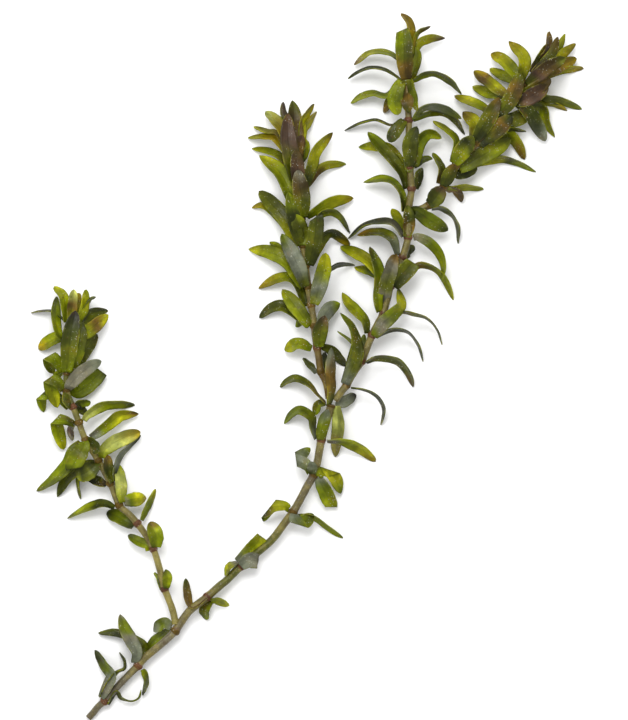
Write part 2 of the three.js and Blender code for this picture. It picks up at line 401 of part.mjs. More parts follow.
// A round stem along its centre line
function stemSolid(points, radius) {
  const curve = curveThrough(points);
  const section = new THREE.Shape();
  for (let i = 0; i < STEM_SIDES; i++) {
    const angle = (2 * Math.PI * i) / STEM_SIDES;
    const corner = [radius * Math.cos(angle), radius * Math.sin(angle)];
    if (i === 0) section.moveTo(...corner);
    else section.lineTo(...corner);
  }
  section.closePath();
  const steps = Math.ceil(curve.getLength() / STEM_STEP);
  return solidOf(new THREE.ExtrudeGeometry(section, { steps, extrudePath: curve, curveSegments: 1 }));
}

// The point of a stem's centre line nearest to a place, and the way the stem runs there
function nodeOn(stem, [x, y]) {
  const curve = curveThrough(stem);
  const samples = 400;
  let best = 0;
  let nearest = Infinity;
  for (let i = 0; i <= samples; i++) {
    const p = curve.getPoint(i / samples);
    const away = Math.hypot(p.x - x, p.y - y);
    if (away < nearest) [nearest, best] = [away, i / samples];
  }
  return { centre: curve.getPoint(best), along: curve.getTangent(best) };
}

// A ring's bore clears the corners of the stem inside it with the middles of its own flats
const ringBore = (radius) => (radius + CLEARANCE) / Math.cos(Math.PI / STEM_SIDES) + CLEARANCE / 2;

// The ring around the stem that the leaves of a whorl grow from
function ringSolid(node, radius, grow) {
  const inner = ringBore(radius) - grow;
  const outer = ringBore(radius) + RING_WALL + grow;
  const half = RING_LENGTH / 2 + grow;
  const section = [[inner, -half], [outer, 0], [inner, half], [inner, -half]];
  const ring = new THREE.LatheGeometry(section.map((p) => new THREE.Vector2(...p)), STEM_SIDES);
  ring.applyQuaternion(new THREE.Quaternion().setFromUnitVectors(new THREE.Vector3(0, 1, 0), node.along));
  ring.translate(node.centre.x, node.centre.y, node.centre.z);
  return solidOf(ring);
}

const outlineAt = (t) => {
  const i = LEAF_OUTLINE.findIndex(([end]) => end >= t);
  if (i <= 0) return LEAF_OUTLINE[0][1];
  const [[t0, w0], [t1, w1]] = [LEAF_OUTLINE[i - 1], LEAF_OUTLINE[i]];
  return THREE.MathUtils.mapLinear(t, t0, t1, w0, w1);
};

// One leaf: a strip with a keel below its midrib, swept along the midrib
function leafSolid(node, radius, [width, rootRoll, tipRoll, ...points], grow) {
  const first = new THREE.Vector3(...points[0]);
  const outward = first.clone().sub(node.centre).projectOnPlane(node.along).normalize();
  const root = node.centre.clone().addScaledVector(outward, ringBore(radius) + RING_WALL / 4);
  const curve = curveThrough([root.toArray(), ...points]);
  const steps = Math.max(2, Math.round(curve.getLength() / LEAF_STEP));
  const strip = new THREE.ConeGeometry(1, 1, 3, steps);
  const place = strip.attributes.position;
  for (let i = 0; i < place.count; i++) {
    const t = THREE.MathUtils.clamp(place.getY(i) + 0.5, 0, 1);
    const along = curve.getTangentAt(t);
    const roll = THREE.MathUtils.degToRad(THREE.MathUtils.lerp(rootRoll, tipRoll, t));
    const face = new THREE.Vector3(0, 0, 1).projectOnPlane(along).normalize().applyAxisAngle(along, roll);
    const side = new THREE.Vector3().crossVectors(along, face);
    const share = outlineAt(t);
    const half = share * (width / 2 + grow);
    const keel = Math.min(1, share * 1.4) * (LEAF_THICKNESS / 2 + grow);
    const p = curve.getPointAt(t);
    p.z = Math.max(p.z, half * Math.abs(side.z) + keel * Math.abs(face.z) + SURFACE - grow);
    const [x, z] = [place.getX(i), place.getZ(i)];
    const onAxis = Math.hypot(x, z) < 1e-6;
    const corner = Math.round((Math.atan2(x, z) / (2 * Math.PI)) * 3 + 3) % 3;
    const [across, up] = onAxis ? [0, 0] : [[0, -keel], [-half, keel], [half, keel]][corner];
    p.addScaledVector(side, across).addScaledVector(face, up);
    place.setXYZ(i, p.x, p.y, p.z);
  }
  return solidOf(strip);
}

function whorlSolid(stem, radius, [, place, leaves], grow) {
  const node = nodeOn(stem, place);
  return leaves.reduce(
    (solid, leaf) => solid.add(leafSolid(node, radius, leaf, grow)),
    ringSolid(node, radius, grow),
  );
}

const meets = (a, b) => [0, 1, 2].every((i) => a.min[i] < b.max[i] && b.min[i] < a.max[i]);

const largestBody = (solid) =>
  solid.decompose().reduce((best, body) => (body.volume() > best.volume() ? body : best));

// Pieces in the order they are made. Each is cut clear of those made before it.
const made = [];
function makePiece(name, solid, grown, material) {
  const box = solid.boundingBox();
  let cut = solid;
  for (const other of made) {
    if (meets(box, other.box)) cut = cut.subtract(other.grown);
  }
  made.push({ name, solid: largestBody(cut), grown, box: grown.boundingBox(), material });
}

const STEMS = [
  ["main_stem_lower", MAIN_STEM_LOWER, MAIN_STEM_RADIUS],
  ["main_stem_upper", MAIN_STEM_UPPER, MAIN_STEM_RADIUS],
  ["left_shoot_stem", LEFT_STEM, SHOOT_STEM_RADIUS],
  ["middle_shoot_stem", MIDDLE_STEM, SHOOT_STEM_RADIUS],
  ["right_shoot_stem_lower", RIGHT_STEM_LOWER, SHOOT_STEM_RADIUS],
  ["right_shoot_stem_upper", RIGHT_STEM_UPPER, SHOOT_STEM_RADIUS],
  ["side_shoot_stem", SIDE_STEM, SHOOT_STEM_RADIUS],
];
for (const [name, points, radius] of STEMS) {
  makePiece(name, stemSolid(points, radius), stemSolid(points, radius + CLEARANCE), STEM_GREEN);
}

const SHOOT_WHORLS = [
  [[...MAIN_STEM_LOWER, ...MAIN_STEM_UPPER.slice(1)], MAIN_STEM_RADIUS, MAIN_WHORLS],
  [LEFT_STEM, SHOOT_STEM_RADIUS, LEFT_WHORLS],
  [MIDDLE_STEM, SHOOT_STEM_RADIUS, MIDDLE_WHORLS],
  [[...RIGHT_STEM_LOWER, ...RIGHT_STEM_UPPER.slice(1)], SHOOT_STEM_RADIUS, RIGHT_WHORLS],
  [SIDE_STEM, SHOOT_STEM_RADIUS, SIDE_WHORLS],
];
for (const [stem, radius, whorls] of SHOOT_WHORLS) {
  for (const whorl of whorls) {
    const material = whorl[0].endsWith("tip") ? TIP_BROWN : LEAF_GREEN;
    const grown = whorlSolid(stem, radius, whorl, CLEARANCE);
    makePiece(whorl[0], whorlSolid(stem, radius, whorl, 0), grown, material);
  }
}

const sprig = new THREE.Group();
for (const { name, solid, material } of made) {
  const mesh = new THREE.Mesh(geometryOf(solid), material);
  mesh.name = name;
  sprig.add(mesh);
}

export default sprig;
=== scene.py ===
# A cut, branched sprig of Canadian waterweed, wilted and lying flat, seen from straight above.
import bisect
import math
import random

import bmesh
import bpy
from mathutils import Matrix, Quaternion, Vector, noise


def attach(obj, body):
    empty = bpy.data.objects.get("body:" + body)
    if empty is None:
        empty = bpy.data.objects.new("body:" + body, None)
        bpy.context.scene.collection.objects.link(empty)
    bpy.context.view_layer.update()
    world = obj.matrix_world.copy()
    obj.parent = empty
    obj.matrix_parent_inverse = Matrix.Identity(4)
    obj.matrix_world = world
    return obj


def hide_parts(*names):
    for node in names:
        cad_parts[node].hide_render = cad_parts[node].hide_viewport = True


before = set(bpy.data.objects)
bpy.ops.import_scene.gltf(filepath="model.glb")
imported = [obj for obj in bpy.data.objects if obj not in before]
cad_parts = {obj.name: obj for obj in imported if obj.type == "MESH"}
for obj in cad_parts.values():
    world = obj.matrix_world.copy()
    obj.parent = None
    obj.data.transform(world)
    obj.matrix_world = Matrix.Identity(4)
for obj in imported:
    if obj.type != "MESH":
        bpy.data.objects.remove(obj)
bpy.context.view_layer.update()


# ---- The ground and the light
# The real sprig lies on a white sheet, lit evenly from above and a little from the side of its tips,
# so that soft shadows fall towards its cut end. The camera looks straight down through a long lens.

MM = 0.001
scene = bpy.context.scene
scene.view_settings.view_transform = "Standard"

VIEW_HEIGHT = 108 * MM  # of what the camera sees
VIEW_MIDDLE = 1.05 * MM
LENS, SENSOR = 300, 36
camera = bpy.data.objects.new("camera", bpy.data.cameras.new("camera"))
camera.data.lens = LENS
camera.data.sensor_width = SENSOR
camera.data.clip_end = 10
camera.location = (VIEW_MIDDLE, VIEW_MIDDLE, VIEW_HEIGHT * LENS / SENSOR)
scene.collection.objects.link(camera)
scene.camera = camera


class Socket:
    """An output of a material's nodes. Arithmetic on it adds Math nodes."""

    def __init__(self, tree, output=None):
        self.tree = tree
        self.output = output

    def node(self, kind, settings=(), sockets=(), out=0):
        """Adds a node: its settings first, then the values or links of its sockets."""
        node = self.tree.nodes.new("ShaderNode" + kind)
        for name, value in dict(settings).items():
            if name == "stops":
                ramp = node.color_ramp.elements
                while len(ramp) > len(value):
                    ramp.remove(ramp[-1])
                while len(ramp) < len(value):
                    ramp.new(1)
                for stop, (place, shade) in zip(ramp, value):
                    stop.position = place
                    stop.color = (shade, shade, shade, 1)
            else:
                setattr(node, name, value)
        for name, value in dict(sockets).items():
            if isinstance(value, Socket):
                self.tree.links.new(value.output, node.inputs[name])
            else:
                node.inputs[name].default_value = value
        return Socket(self.tree, node.outputs[out] if node.outputs else None)

    def maths(self, operation, a, b=0.0):
        return self.node("Math", {"operation": operation}, {0: a, 1: b})

    def __add__(self, other):
        return self.maths("ADD", self, other)

    def __radd__(self, other):
        return self.maths("ADD", other, self)

    def __sub__(self, other):
        return self.maths("SUBTRACT", self, other)

    def __rsub__(self, other):
        return self.maths("SUBTRACT", other, self)

    def __mul__(self, other):
        return self.maths("MULTIPLY", self, other)

    def __rmul__(self, other):
        return self.maths("MULTIPLY", other, self)

    def ramp(self, *stops):
        """This value through a grey ramp of (place, shade) stops."""
        return self.node("ValToRGB", {"stops": stops}, {"Fac": self})

    def mix(self, factor, other, blend="MIX"):
        """This colour mixed with another."""
        return self.node(
            "Mix", {"data_type": "RGBA", "blend_type": blend}, {0: factor, 6: self, 7: other}, out=2
        )


def finish(name):
    """A new material's name, and the socket that its nodes start from."""
    material = bpy.data.materials.new(name)
    material.use_nodes = True
    material.node_tree.nodes.clear()
    return material, Socket(material.node_tree)


def surface_of(start, shader):
    """Gives a material its surface."""
    start.node("OutputMaterial", {}, {"Surface": shader})


def colour(red, green, blue):
    """An opaque colour."""
    return (red, green, blue, 1)


sheet_white, start = finish("white_sheet")
grain = start.node("TexNoise", {}, {"Vector": start.node("TexCoord", out="Object"), "Scale": 900.0})
surface_of(start, start.node("BsdfPrincipled", {}, {
    "Base Color": grain.ramp((0, 0.9), (1, 0.93)),
    "Roughness": 0.9,
    "Specular IOR Level": 0.1,
}))

SHEET_SIZE = 600 * MM
sheet = bmesh.new()
bmesh.ops.create_grid(sheet, x_segments=1, y_segments=1, size=SHEET_SIZE / 2)
sheet_mesh = bpy.data.meshes.new("white_sheet")
sheet.to_mesh(sheet_mesh)
sheet_mesh.materials.append(sheet_white)
floor = bpy.data.objects.new("white_sheet", sheet_mesh)
scene.collection.objects.link(floor)

SKY_STRENGTH = 0.85
world = bpy.data.worlds.new("studio")
world.use_nodes = True
sky = world.node_tree.nodes["Background"].inputs
sky["Color"].default_value = colour(1, 1, 1)
sky["Strength"].default_value = SKY_STRENGTH
scene.world = world


def soft_light(name, place, size, power):
    """A square soft light aimed at the middle of the sprig, in metres and watts."""
    light = bpy.data.objects.new(name, bpy.data.lights.new(name, "AREA"))
    light.data.size = size
    light.data.energy = power
    light.location = place
    light.rotation_euler = (-Vector(place)).to_track_quat("-Z", "Y").to_euler()
    scene.collection.objects.link(light)


soft_light("softbox_above", place=(-0.03, 0.24, 0.5), size=0.22, power=2.0)
soft_light("softbox_side", place=(-0.3, 0.1, 0.4), size=0.25, power=0.5)


# ---- The stems
# The real stem is a round, water-filled green shoot about 1 mm thick, ringed where each whorl grows.
# It is yellow-brown and streaked along its length. Each length between forks is a piece.

MAIN_RADIUS, SHOOT_RADIUS = 0.6, 0.54

# The middle of each stem, as points in mm from its root to its tip
MAIN_STEM_LOWER = (
    (-32.75, -52.6, 0.62), (-32.1, -51.9, 0.75), (-31.3, -50.9, 0.95), (-30.3, -50, 1.2),
    (-28.6, -48.1, 1.4), (-26.7, -46.1, 1.6), (-25.3, -44.7, 1.7), (-24, -43.3, 1.8), (-22.4, -42, 1.9),
    (-20.8, -40.6, 2), (-19.7, -39.5, 2),
)
MAIN_STEM_UPPER = (
    (-19.6, -39.3, 2), (-18, -37, 2), (-17, -36, 2), (-14.9, -34.4, 2), (-13, -32.7, 2), (-12, -31.9, 2),
    (-9.9, -29.8, 2), (-7, -27.4, 2), (-5.1, -25.7, 2), (-3.3, -23.3, 2.1), (-2.1, -21.7, 2.2),
    (-1.1, -20, 2.2), (0, -17.9, 2.3), (1, -16.1, 2.3), (1.6, -14, 2.4), (2.1, -11.1, 2.5), (2.9, -8.3, 2.6),
    (3.6, -5.6, 2.8),
)
LEFT_STEM = (
    (-19.7, -38.5, 2.1), (-19.9, -37.2, 2.1), (-20.3, -35.8, 2.2), (-20.8, -34.5, 2.2), (-21.3, -33.2, 2.2),
    (-21.7, -31.5, 2.3), (-22.1, -30, 2.3), (-22.5, -28.6, 2.4), (-23, -27.2, 2.4), (-24, -25.3, 2.4),
    (-25.4, -23.4, 2.4), (-26.6, -22, 2.5), (-28.1, -20.6, 2.5), (-29.4, -17.4, 2.6), (-31.2, -14, 2.7),
    (-33.1, -10.9, 2.8), (-34.1, -8.3, 2.9), (-35, -5.9, 3), (-36, -3.4, 3), (-35.9, -0.8, 3.1),
    (-35.6, 3, 3.1), (-35.2, 6.6, 3.1),
)
MIDDLE_STEM = (
    (3.3, -4.7, 2.9), (2.9, -2.4, 2.9), (2.1, -0.7, 2.9), (1.8, 1.2, 3), (1.5, 2.9, 3), (1.2, 4.8, 3.1),
    (1, 7, 3.1), (0.6, 9.4, 3.1), (0.2, 12, 3.1), (-0.2, 15.1, 3.2), (-0.6, 18.4, 3.2), (-0.8, 22.3, 3.2),
    (-1.1, 26.6, 3.2), (-1.5, 30.6, 3.2),
)
RIGHT_STEM_LOWER = (
    (4.2, -5, 2.8), (5, -3.9, 2.9), (5.9, -2.7, 2.9), (7.1, -0.7, 3), (8.2, 0.9, 3), (9, 2.9, 3.1),
    (9.7, 4.7, 3.1), (10.6, 6.5, 3.2), (11.4, 8, 3.2), (12, 10.1, 3.3), (12.5, 12.1, 3.3), (13.4, 14.2, 3.4),
    (14.3, 16.4, 3.4), (14.8, 18, 3.5), (15.1, 19.4, 3.5), (15.2, 21.3, 3.6), (15.1, 23.2, 3.6),
)
RIGHT_STEM_UPPER = (
    (15.1, 23.3, 3.6), (15.4, 25, 3.7), (15.6, 26.6, 3.7), (15.5, 28.3, 3.8), (15.4, 29.9, 3.8),
    (15.2, 33.4, 3.9), (15.2, 36.9, 3.9), (15, 40, 4), (14.9, 42.9, 4), (14.8, 46, 4.1),
)
SIDE_STEM = (
    (16.1, 23.4, 3.7), (17.5, 23.8, 3.8), (19.2, 25, 3.9), (20.4, 27, 4), (21.4, 29, 4), (23.2, 31.2, 4),
    (25.5, 33.6, 4), (27.4, 36, 4), (29.4, 38.6, 4), (31.6, 41.2, 4), (33.9, 43.5, 3.9),
)


class Line:
    """A smooth line through points, in mm, followed from 0 at its start to 1 at its end."""

    STEPS = 16  # from one point to the next
    REACH = 0.01  # either side of a place, for its direction

    def __init__(self, points):
        knots = [Vector(p) for p in points]
        knots = [2 * knots[0] - knots[1], *knots, 2 * knots[-1] - knots[-2]]
        self.places = []
        for a, b, c, d in zip(knots, knots[1:], knots[2:], knots[3:]):
            for i in range(self.STEPS):
                s = i / self.STEPS
                bend = (c - a) * s + (2 * a - 5 * b + 4 * c - d) * s**2 + (3 * b - 3 * c + d - a) * s**3
                self.places.append(b + bend / 2)
        self.places.append(knots[-2])
        self.gone = [0.0]
        for p, q in zip(self.places, self.places[1:]):
            self.gone.append(self.gone[-1] + (q - p).length)
        self.length = self.gone[-1]

    def at(self, share):
        """The place a share of the way along."""
        far = min(max(share, 0), 1) * self.length
        i = min(max(bisect.bisect_right(self.gone, far), 1), len(self.gone) - 1)
        span = self.gone[i] - self.gone[i - 1]
        return self.places[i - 1].lerp(self.places[i], (far - self.gone[i - 1]) / span)

    def along(self, share):
        """The direction of the line a share of the way along."""
        ahead, behind = self.at(min(share + self.REACH, 1)), self.at(max(share - self.REACH, 0))
        return (ahead - behind).normalized()

    def nearest(self, x, y):
        """How far along the line its nearest point to a place is, from 0 to 1."""
        away = [math.hypot(p.x - x, p.y - y) for p in self.places]
        return self.gone[away.index(min(away))] / self.length


# A piece's colours are a row of letters, from its root to its tip, and this is what each stands for
SHADES = {
    "k": (0.014, 0.011, 0.008),  # nearly black
    "d": (0.028, 0.034, 0.002),  # dark green
    "o": (0.070, 0.078, 0.003),  # olive
    "g": (0.116, 0.142, 0.002),  # green
    "l": (0.200, 0.224, 0.004),  # light green
    "y": (0.370, 0.360, 0.008),  # yellow-green
    "p": (0.400, 0.420, 0.100),  # pale yellow
    "a": (0.260, 0.185, 0.005),  # amber
    "b": (0.105, 0.062, 0.008),  # brown
    "r": (0.110, 0.045, 0.020),  # red-brown
    "v": (0.062, 0.034, 0.018),  # violet-brown
    "e": (0.050, 0.032, 0.004),  # dark brown
    "s": (0.130, 0.140, 0.085),  # silvery grey-green: a painted sheen, the reflection off water lying on the leaf
    "t": (0.140, 0.125, 0.080),  # taupe grey, which on the leaves also carries half the painted grey sheen
    "m": (0.135, 0.115, 0.032),  # stem brown
    "n": (0.215, 0.185, 0.048),  # stem yellow
    "w": (0.098, 0.082, 0.040),  # worn grey stem
}
PAINTED_SHEEN = {"s": 0.8, "t": 0.5}  # how much painted grey sheen, standing for the reflection off water on the leaf, a letter brings, and 0 for the rest


def eased(share):
    """A share from 0 to 1 that starts and ends gently."""
    return share * share * (3 - 2 * share)


def shade(letters, share):
    """The colour and the amount of painted grey sheen part of the way along a row of letters."""
    far = min(max(share, 0), 1) * (len(letters) - 1)
    i = min(int(far), len(letters) - 2) if len(letters) > 1 else 0
    a, b = letters[i], letters[min(i + 1, len(letters) - 1)]
    s = eased(far - i)
    mixed = Vector(SHADES[a]).lerp(Vector(SHADES[b]), s)
    return (*mixed, PAINTED_SHEEN.get(a, 0) * (1 - s) + PAINTED_SHEEN.get(b, 0) * s)


UP = Vector((0, 0, 1))
MERGE = 1e-4  # mm, the widest gap that closes, as in the seam of a ring


def tube_grid(sides, rings):
    """A flat grid that is to be rolled into a tube, with its map and its tone layer."""
    grid = bmesh.new()
    grid.loops.layers.uv.new("UVMap")
    grid.verts.layers.float_color.new("tone")
    bmesh.ops.create_grid(grid, x_segments=sides, y_segments=rings, size=0.5, calc_uvs=True)
    return grid


def roll_tube(grid, line, radius_at, tone_at):
    """Rolls a flat grid round a line into a tube with open ends, and turns its faces outward."""
    tone = grid.verts.layers.float_color["tone"]
    for vert in grid.verts:
        turn, share = 2 * math.pi * vert.co.x, vert.co.y + 0.5
        along = line.along(share)
        side = along.cross(UP).normalized()
        up = side.cross(along)
        radius = radius_at(share, turn)
        vert[tone] = tone_at(share, turn)
        vert.co = line.at(share) + (side * math.cos(turn) + up * math.sin(turn)) * radius
    bmesh.ops.remove_doubles(grid, verts=grid.verts, dist=MERGE)
    bmesh.ops.recalc_face_normals(grid, faces=grid.faces)


def place_piece(name, grid, material, node):
    """Makes a finished mesh, drawn in mm, the piece that stands for a node."""
    bmesh.ops.scale(grid, verts=grid.verts, vec=(MM, MM, MM))
    mesh = bpy.data.meshes.new(name)
    for face in grid.faces:
        face.smooth = True
    grid.to_mesh(mesh)
    grid.free()
    mesh.materials.append(material)
    piece = bpy.data.objects.new(name, mesh)
    scene.collection.objects.link(piece)
    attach(piece, "root")
    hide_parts(node)


stem_skin, start = finish("stem_skin")
place = start.node("TexCoord", out="Object")
tone = start.node("Attribute", {"attribute_name": "tone"}, out="Color")
skin_map = start.node("UVMap", {"uv_map": "UVMap"})
drawn = start.node("Mapping", {}, {"Vector": skin_map, "Scale": (18.0, 26.0, 1.0)})
streaks = start.node("TexNoise", {}, {"Vector": drawn, "Scale": 1.0, "Detail": 3.0})
blotches = start.node("TexNoise", {}, {"Vector": place, "Scale": 650.0, "Detail": 4.0, "Roughness": 0.65})
specks = start.node("TexVoronoi", {}, {"Vector": place, "Scale": 2600.0}, out="Distance")
shaded = tone.mix(streaks.ramp((0.38, 0), (0.62, 1)) * 0.55, colour(0.42, 0.36, 0.26), "MULTIPLY")
lit = shaded.mix(blotches.ramp((0.5, 0), (0.68, 1)) * 0.45, colour(0.30, 0.24, 0.055))
browned = lit.mix(blotches.ramp((0.33, 1), (0.44, 0)) * 0.6, colour(0.055, 0.030, 0.010))
flecked = browned.mix(specks.ramp((0.10, 1), (0.2, 0)) * 0.25, colour(0.6, 0.58, 0.45))
relief = streaks * 0.6 + blotches * 0.8
surface_of(start, start.node("BsdfPrincipled", {}, {
    "Base Color": flecked,
    "Roughness": blotches * 0.3 + 0.22,
    "Specular IOR Level": 0.25,
    "Coat Weight": 0.08,
    "Coat Roughness": 0.12,
    "Normal": start.node("Bump", {}, {"Height": relief, "Strength": 0.35, "Distance": 0.06 * MM}),
}))

STEM_SIDES = 20
STEM_STEP = 0.25  # mm along the stem from one ring of corners to the next
NODE_SWELL = 0.16
NODE_SPREAD = 0.4  # mm either side of a node
NODE_RED = 0.75
LUMPS, LUMP_DETAIL, LUMP_TURN = 0.05, 0.9, 9  # how much a stem's radius wanders, and how fast


def grow_stem(name, points, radius, letters, thinning, nodes):
    """One length of stem: swollen and redder at the nodes of its whorls, thinner towards its tip.

    Its lumps differ on the two sides of its seam, which stays open by up to 0.025 mm.
    """
    line = Line(points)
    near = [line.nearest(x, y) * line.length for x, y in nodes]

    def closeness(share):
        return max(math.exp(-((share * line.length - far) / NODE_SPREAD) ** 2) for far in near)

    def radius_at(share, turn):
        wander = noise.noise(line.at(share) * LUMP_DETAIL + Vector((0, 0, turn / LUMP_TURN)))
        return radius * (1 - thinning * share) * (1 + NODE_SWELL * closeness(share) + LUMPS * wander)

    def tone_at(share, turn):
        base = Vector(shade(letters, share))
        return base.lerp(Vector(shade("r", 0)), NODE_RED * closeness(share))

    grid = tube_grid(STEM_SIDES, int(line.length / STEM_STEP))
    roll_tube(grid, line, radius_at, tone_at)
    place_piece(name + "_skin", grid, stem_skin, name)


# Where on the stems the whorls grow, in mm
MAIN_NODES = ((-30.3, -50.0), (-25.3, -44.7), (-19.8, -39.5), (-14.9, -34.4), (-9.9, -29.7), (-2.1, -21.7),
              (1.0, -16.1), (2.1, -11.0), (3.6, -5.6))
LEFT_NODES = ((-21.3, -33.2), (-23.0, -27.2), (-25.3, -23.4), (-28.0, -20.6), (-29.4, -17.4),
              (-31.2, -14.0), (-33.1, -10.9), (-35.0, -5.9), (-36.0, -3.4), (-35.8, -0.8), (-35.4, 4.2))
MIDDLE_NODES = ((2.1, -0.7), (1.5, 2.9), (1.1, 6.2), (0.7, 9.2), (0.2, 12.0), (-0.2, 15.1), (-0.6, 18.2),
                (-0.8, 22.3), (-1.1, 26.6))
RIGHT_NODES = ((5.9, -2.7), (8.2, 0.9), (9.7, 4.7), (11.4, 8.0), (12.5, 12.1), (14.3, 16.4), (15.1, 19.4))
TOP_NODES = ((15.1, 23.6), (15.6, 26.6), (15.4, 29.9), (15.2, 36.9), (14.9, 42.9))
SIDE_NODES = ((18.2, 24.2), (20.4, 27.0), (22.2, 30.1), (25.4, 33.4), (28.4, 37.3), (30.6, 40.0),
              (32.6, 42.2))

CUT_RADIUS, CUT_THINNING = 0.5, -0.16  # the main stem has shrunk towards its cut end
LEFT_RADIUS = 0.52
THINNING = 0.15
grow_stem("main_stem_lower", MAIN_STEM_LOWER, CUT_RADIUS, "wtmt", CUT_THINNING, MAIN_NODES[:2])
grow_stem("main_stem_upper", MAIN_STEM_UPPER, MAIN_RADIUS, "wmoomwmm", 0, MAIN_NODES[2:])
grow_stem("left_shoot_stem", LEFT_STEM, LEFT_RADIUS, "nnmnog", THINNING, LEFT_NODES)
grow_stem("middle_shoot_stem", MIDDLE_STEM, SHOOT_RADIUS, "bmb", THINNING, MIDDLE_NODES)
grow_stem("right_shoot_stem_lower", RIGHT_STEM_LOWER, SHOOT_RADIUS, "mmm", 0, RIGHT_NODES)
grow_stem("right_shoot_stem_upper", RIGHT_STEM_UPPER, SHOOT_RADIUS, "mmb", THINNING, TOP_NODES)
grow_stem("side_shoot_stem", SIDE_STEM, SHOOT_RADIUS, "mbb", THINNING, SIDE_NODES)


# ---- The main stem's whorls
# A whorl is a ring of two to five thin, blunt leaves that clasp the stem at a node. They are two cells
# thick, wet and wilted, so that they fold along the midrib, curl back and lie over each other.

# Each whorl: its name, its place on the stem, the letter of its ring, and its leaves. A leaf is its
# letters, its width in mm, its roll at the root and at the tip in degrees, and points on its midrib.
# A point with a fourth number is where the leaf is creased and folds back under itself.
MAIN_WHORLS = (
    ("main_whorl_1", (-30.3, -50), "r", (
        ("stsgdd", 2, -20, -45, (-29.7, -47.4, 2.6), (-29.3, -46.1, 2.8), (-30.4, -44.6, 1.8),
         (-31.9, -42.45, 0.2)),
        ("dod", 1.8, 68, 76, (-28.9, -46, 2.4), (-27.4, -45.1, 2.2), (-27.4, -43.9, 1.4),
         (-28.1, -42.75, 0.2)),
        ("dol", 1.3, 66, 84, (-28.6, -48.7, 1.6), (-27.8, -49.6, 1.3), (-26.4, -50.1, 1),
         (-25.2, -49.6, 0.8), (-24.8, -48.4, 0.7)),
    )),
    ("main_whorl_2", (-25.3, -44.7), "r", (
        ("sstgt", 2.1, 20, 30, (-25.4, -42.7, 3), (-26.2, -41, 3.1), (-27.2, -39.2, 2.4), (-28, -37, 1.3)),
        ("dodo", 1.9, 50, 55, (-24.3, -42.1, 1), (-25.6, -40.8, 0.9), (-28.5, -39.8, 0.7),
         (-31.3, -39.85, 0.2)),
        ("lod", 1.6, 45, 70, (-24.3, -45.9, 1.6), (-24.1, -47.2, 1.3), (-24.7, -49.2, 0.6)),
    )),
    ("main_whorl_3", (-19.8, -39.5), "b", (
        ("sgs", 1.9, 30, 30, (-21.2, -38.3, 2.8), (-22.1, -38.7, 2.4), (-23, -39.6, 1.6)),
        ("ogo", 1.8, 46, 50, (-22.2, -40.4, 1), (-23.3, -41.4, 0.7), (-24, -42.9, 0.2)),
    )),
    ("main_whorl_4", (-14.9, -34.4), "r", (
        ("ly", 1.9, 54, 54, (-13.3, -35, 2.2), (-11.85, -35.9, 1)),
        ("og", 1.9, 41, 41, (-15.35, -36.4, 1.5), (-15.25, -37.9, 0.2)),
        ("vbd", 1.5, 78, 30, (-16.2, -35.5, 2.8), (-17.2, -35.8, 2.5), (-17.8, -34.8, 2.1),
         (-18.15, -31.65, 0.3)),
    )),
    ("main_whorl_5", (-9.9, -29.7), "r", (
        ("tyl", 1.8, 60, 60, (-11.6, -29.8, 2.6), (-12.35, -31.2, 1.6)),
        ("st", 2.4, 10, 10, (-8.7, -28.9, 3.2), (-7.3, -29.1, 2.9, 1), (-8.3, -28.9, 2.4)),
        ("sly", 2.2, 12, 12, (-8.9, -27.9, 1.9), (-7.7, -26.6, 2.4), (-6.7, -25.4, 2.6, 1),
         (-7.3, -26.3, 2)),
    )),
    ("main_whorl_6", (-2.1, -21.7), "b", (
        ("lydg", 1.9, 30, 12, (-3.3, -20.8, 3.4), (-4.8, -20.8, 3.2), (-6, -21.5, 2.4, 1),
         (-6.25, -22.3, 1.6), (-6.5, -23.2, 1)),
        ("sgd", 2.3, 8, 8, (-1.85, -22.5, 3.3), (-1.3, -23.6, 3.2, 1), (-0.2, -23, 2.9), (1, -22, 2.1)),
        ("ogl", 1.8, 60, 60, (1, -22.5, 1.7), (3.2, -24.1, 1.3), (5.4, -25.7, 0.2)),
    )),
    ("main_whorl_7", (1, -16.1), "b", (
        ("gsg", 2, 20, 15, (0.3, -15.1, 3.5), (-0.5, -14.4, 3.5), (-1.65, -13.9, 3.3, 1), (-0.6, -13, 2.6),
         (0.5, -12.1, 2)),
        ("gyg", 2.2, 20, 30, (2.2, -15.7, 2.9), (3.3, -15.35, 2.9, 1), (4.4, -16.9, 2.2), (5.1, -19, 1.2)),
        ("sglg", 2.3, 15, 15, (2, -17.2, 2.4), (2.9, -19, 2), (3.8, -21, 1.2, 1), (4.2, -20.1, 0.8)),
        ("ds", 1.6, 10, 10, (0.8, -15.3, 3.5), (0.6, -14.1, 3.6)),
    )),
    ("main_whorl_8", (2.1, -11), "r", (
        ("sogg", 1.9, 54, 46, (0.9, -9, 3.4), (0.7, -7.6, 3.4), (-0.9, -6.5, 2.6), (-2.3, -7, 1.5),
         (-3.5, -8.5, 0.2)),
        ("ogs", 2, 25, 25, (2.4, -8.7, 4), (3.1, -6.3, 4.4)),
        ("tlya", 2, 60, 35, (5.4, -11.2, 2.8), (8, -12.3, 1.8), (10.3, -14.2, 0.2)),
    )),
    ("main_whorl_9", (3.6, -5.6), "b", (
        ("boo", 1.8, 72, 54, (1.4, -3.9, 3), (0.1, -2.5, 2.6), (-1.6, -1.75, 2), (-3, -2.1, 1.1),
         (-4.1, -3, 0.2)),
        ("ppnn", 2.1, 17, 36, (4.7, -9, 2.4), (4.4, -11.2, 1.3), (4.2, -13.5, 0.2)),
        ("obs", 2, 48, 40, (3.7, -3.4, 4.4), (3.5, -1, 4.7), (3.7, 2.9, 4.4)),
        ("og", 1.4, 20, 20, (1.7, -5.6, 2.2), (1.1, -7.2, 1.2)),
        ("ssk", 1.9, 30, 30, (6.2, -4.8, 1.7), (7.4, -4.2, 1.2)),
    )),
)

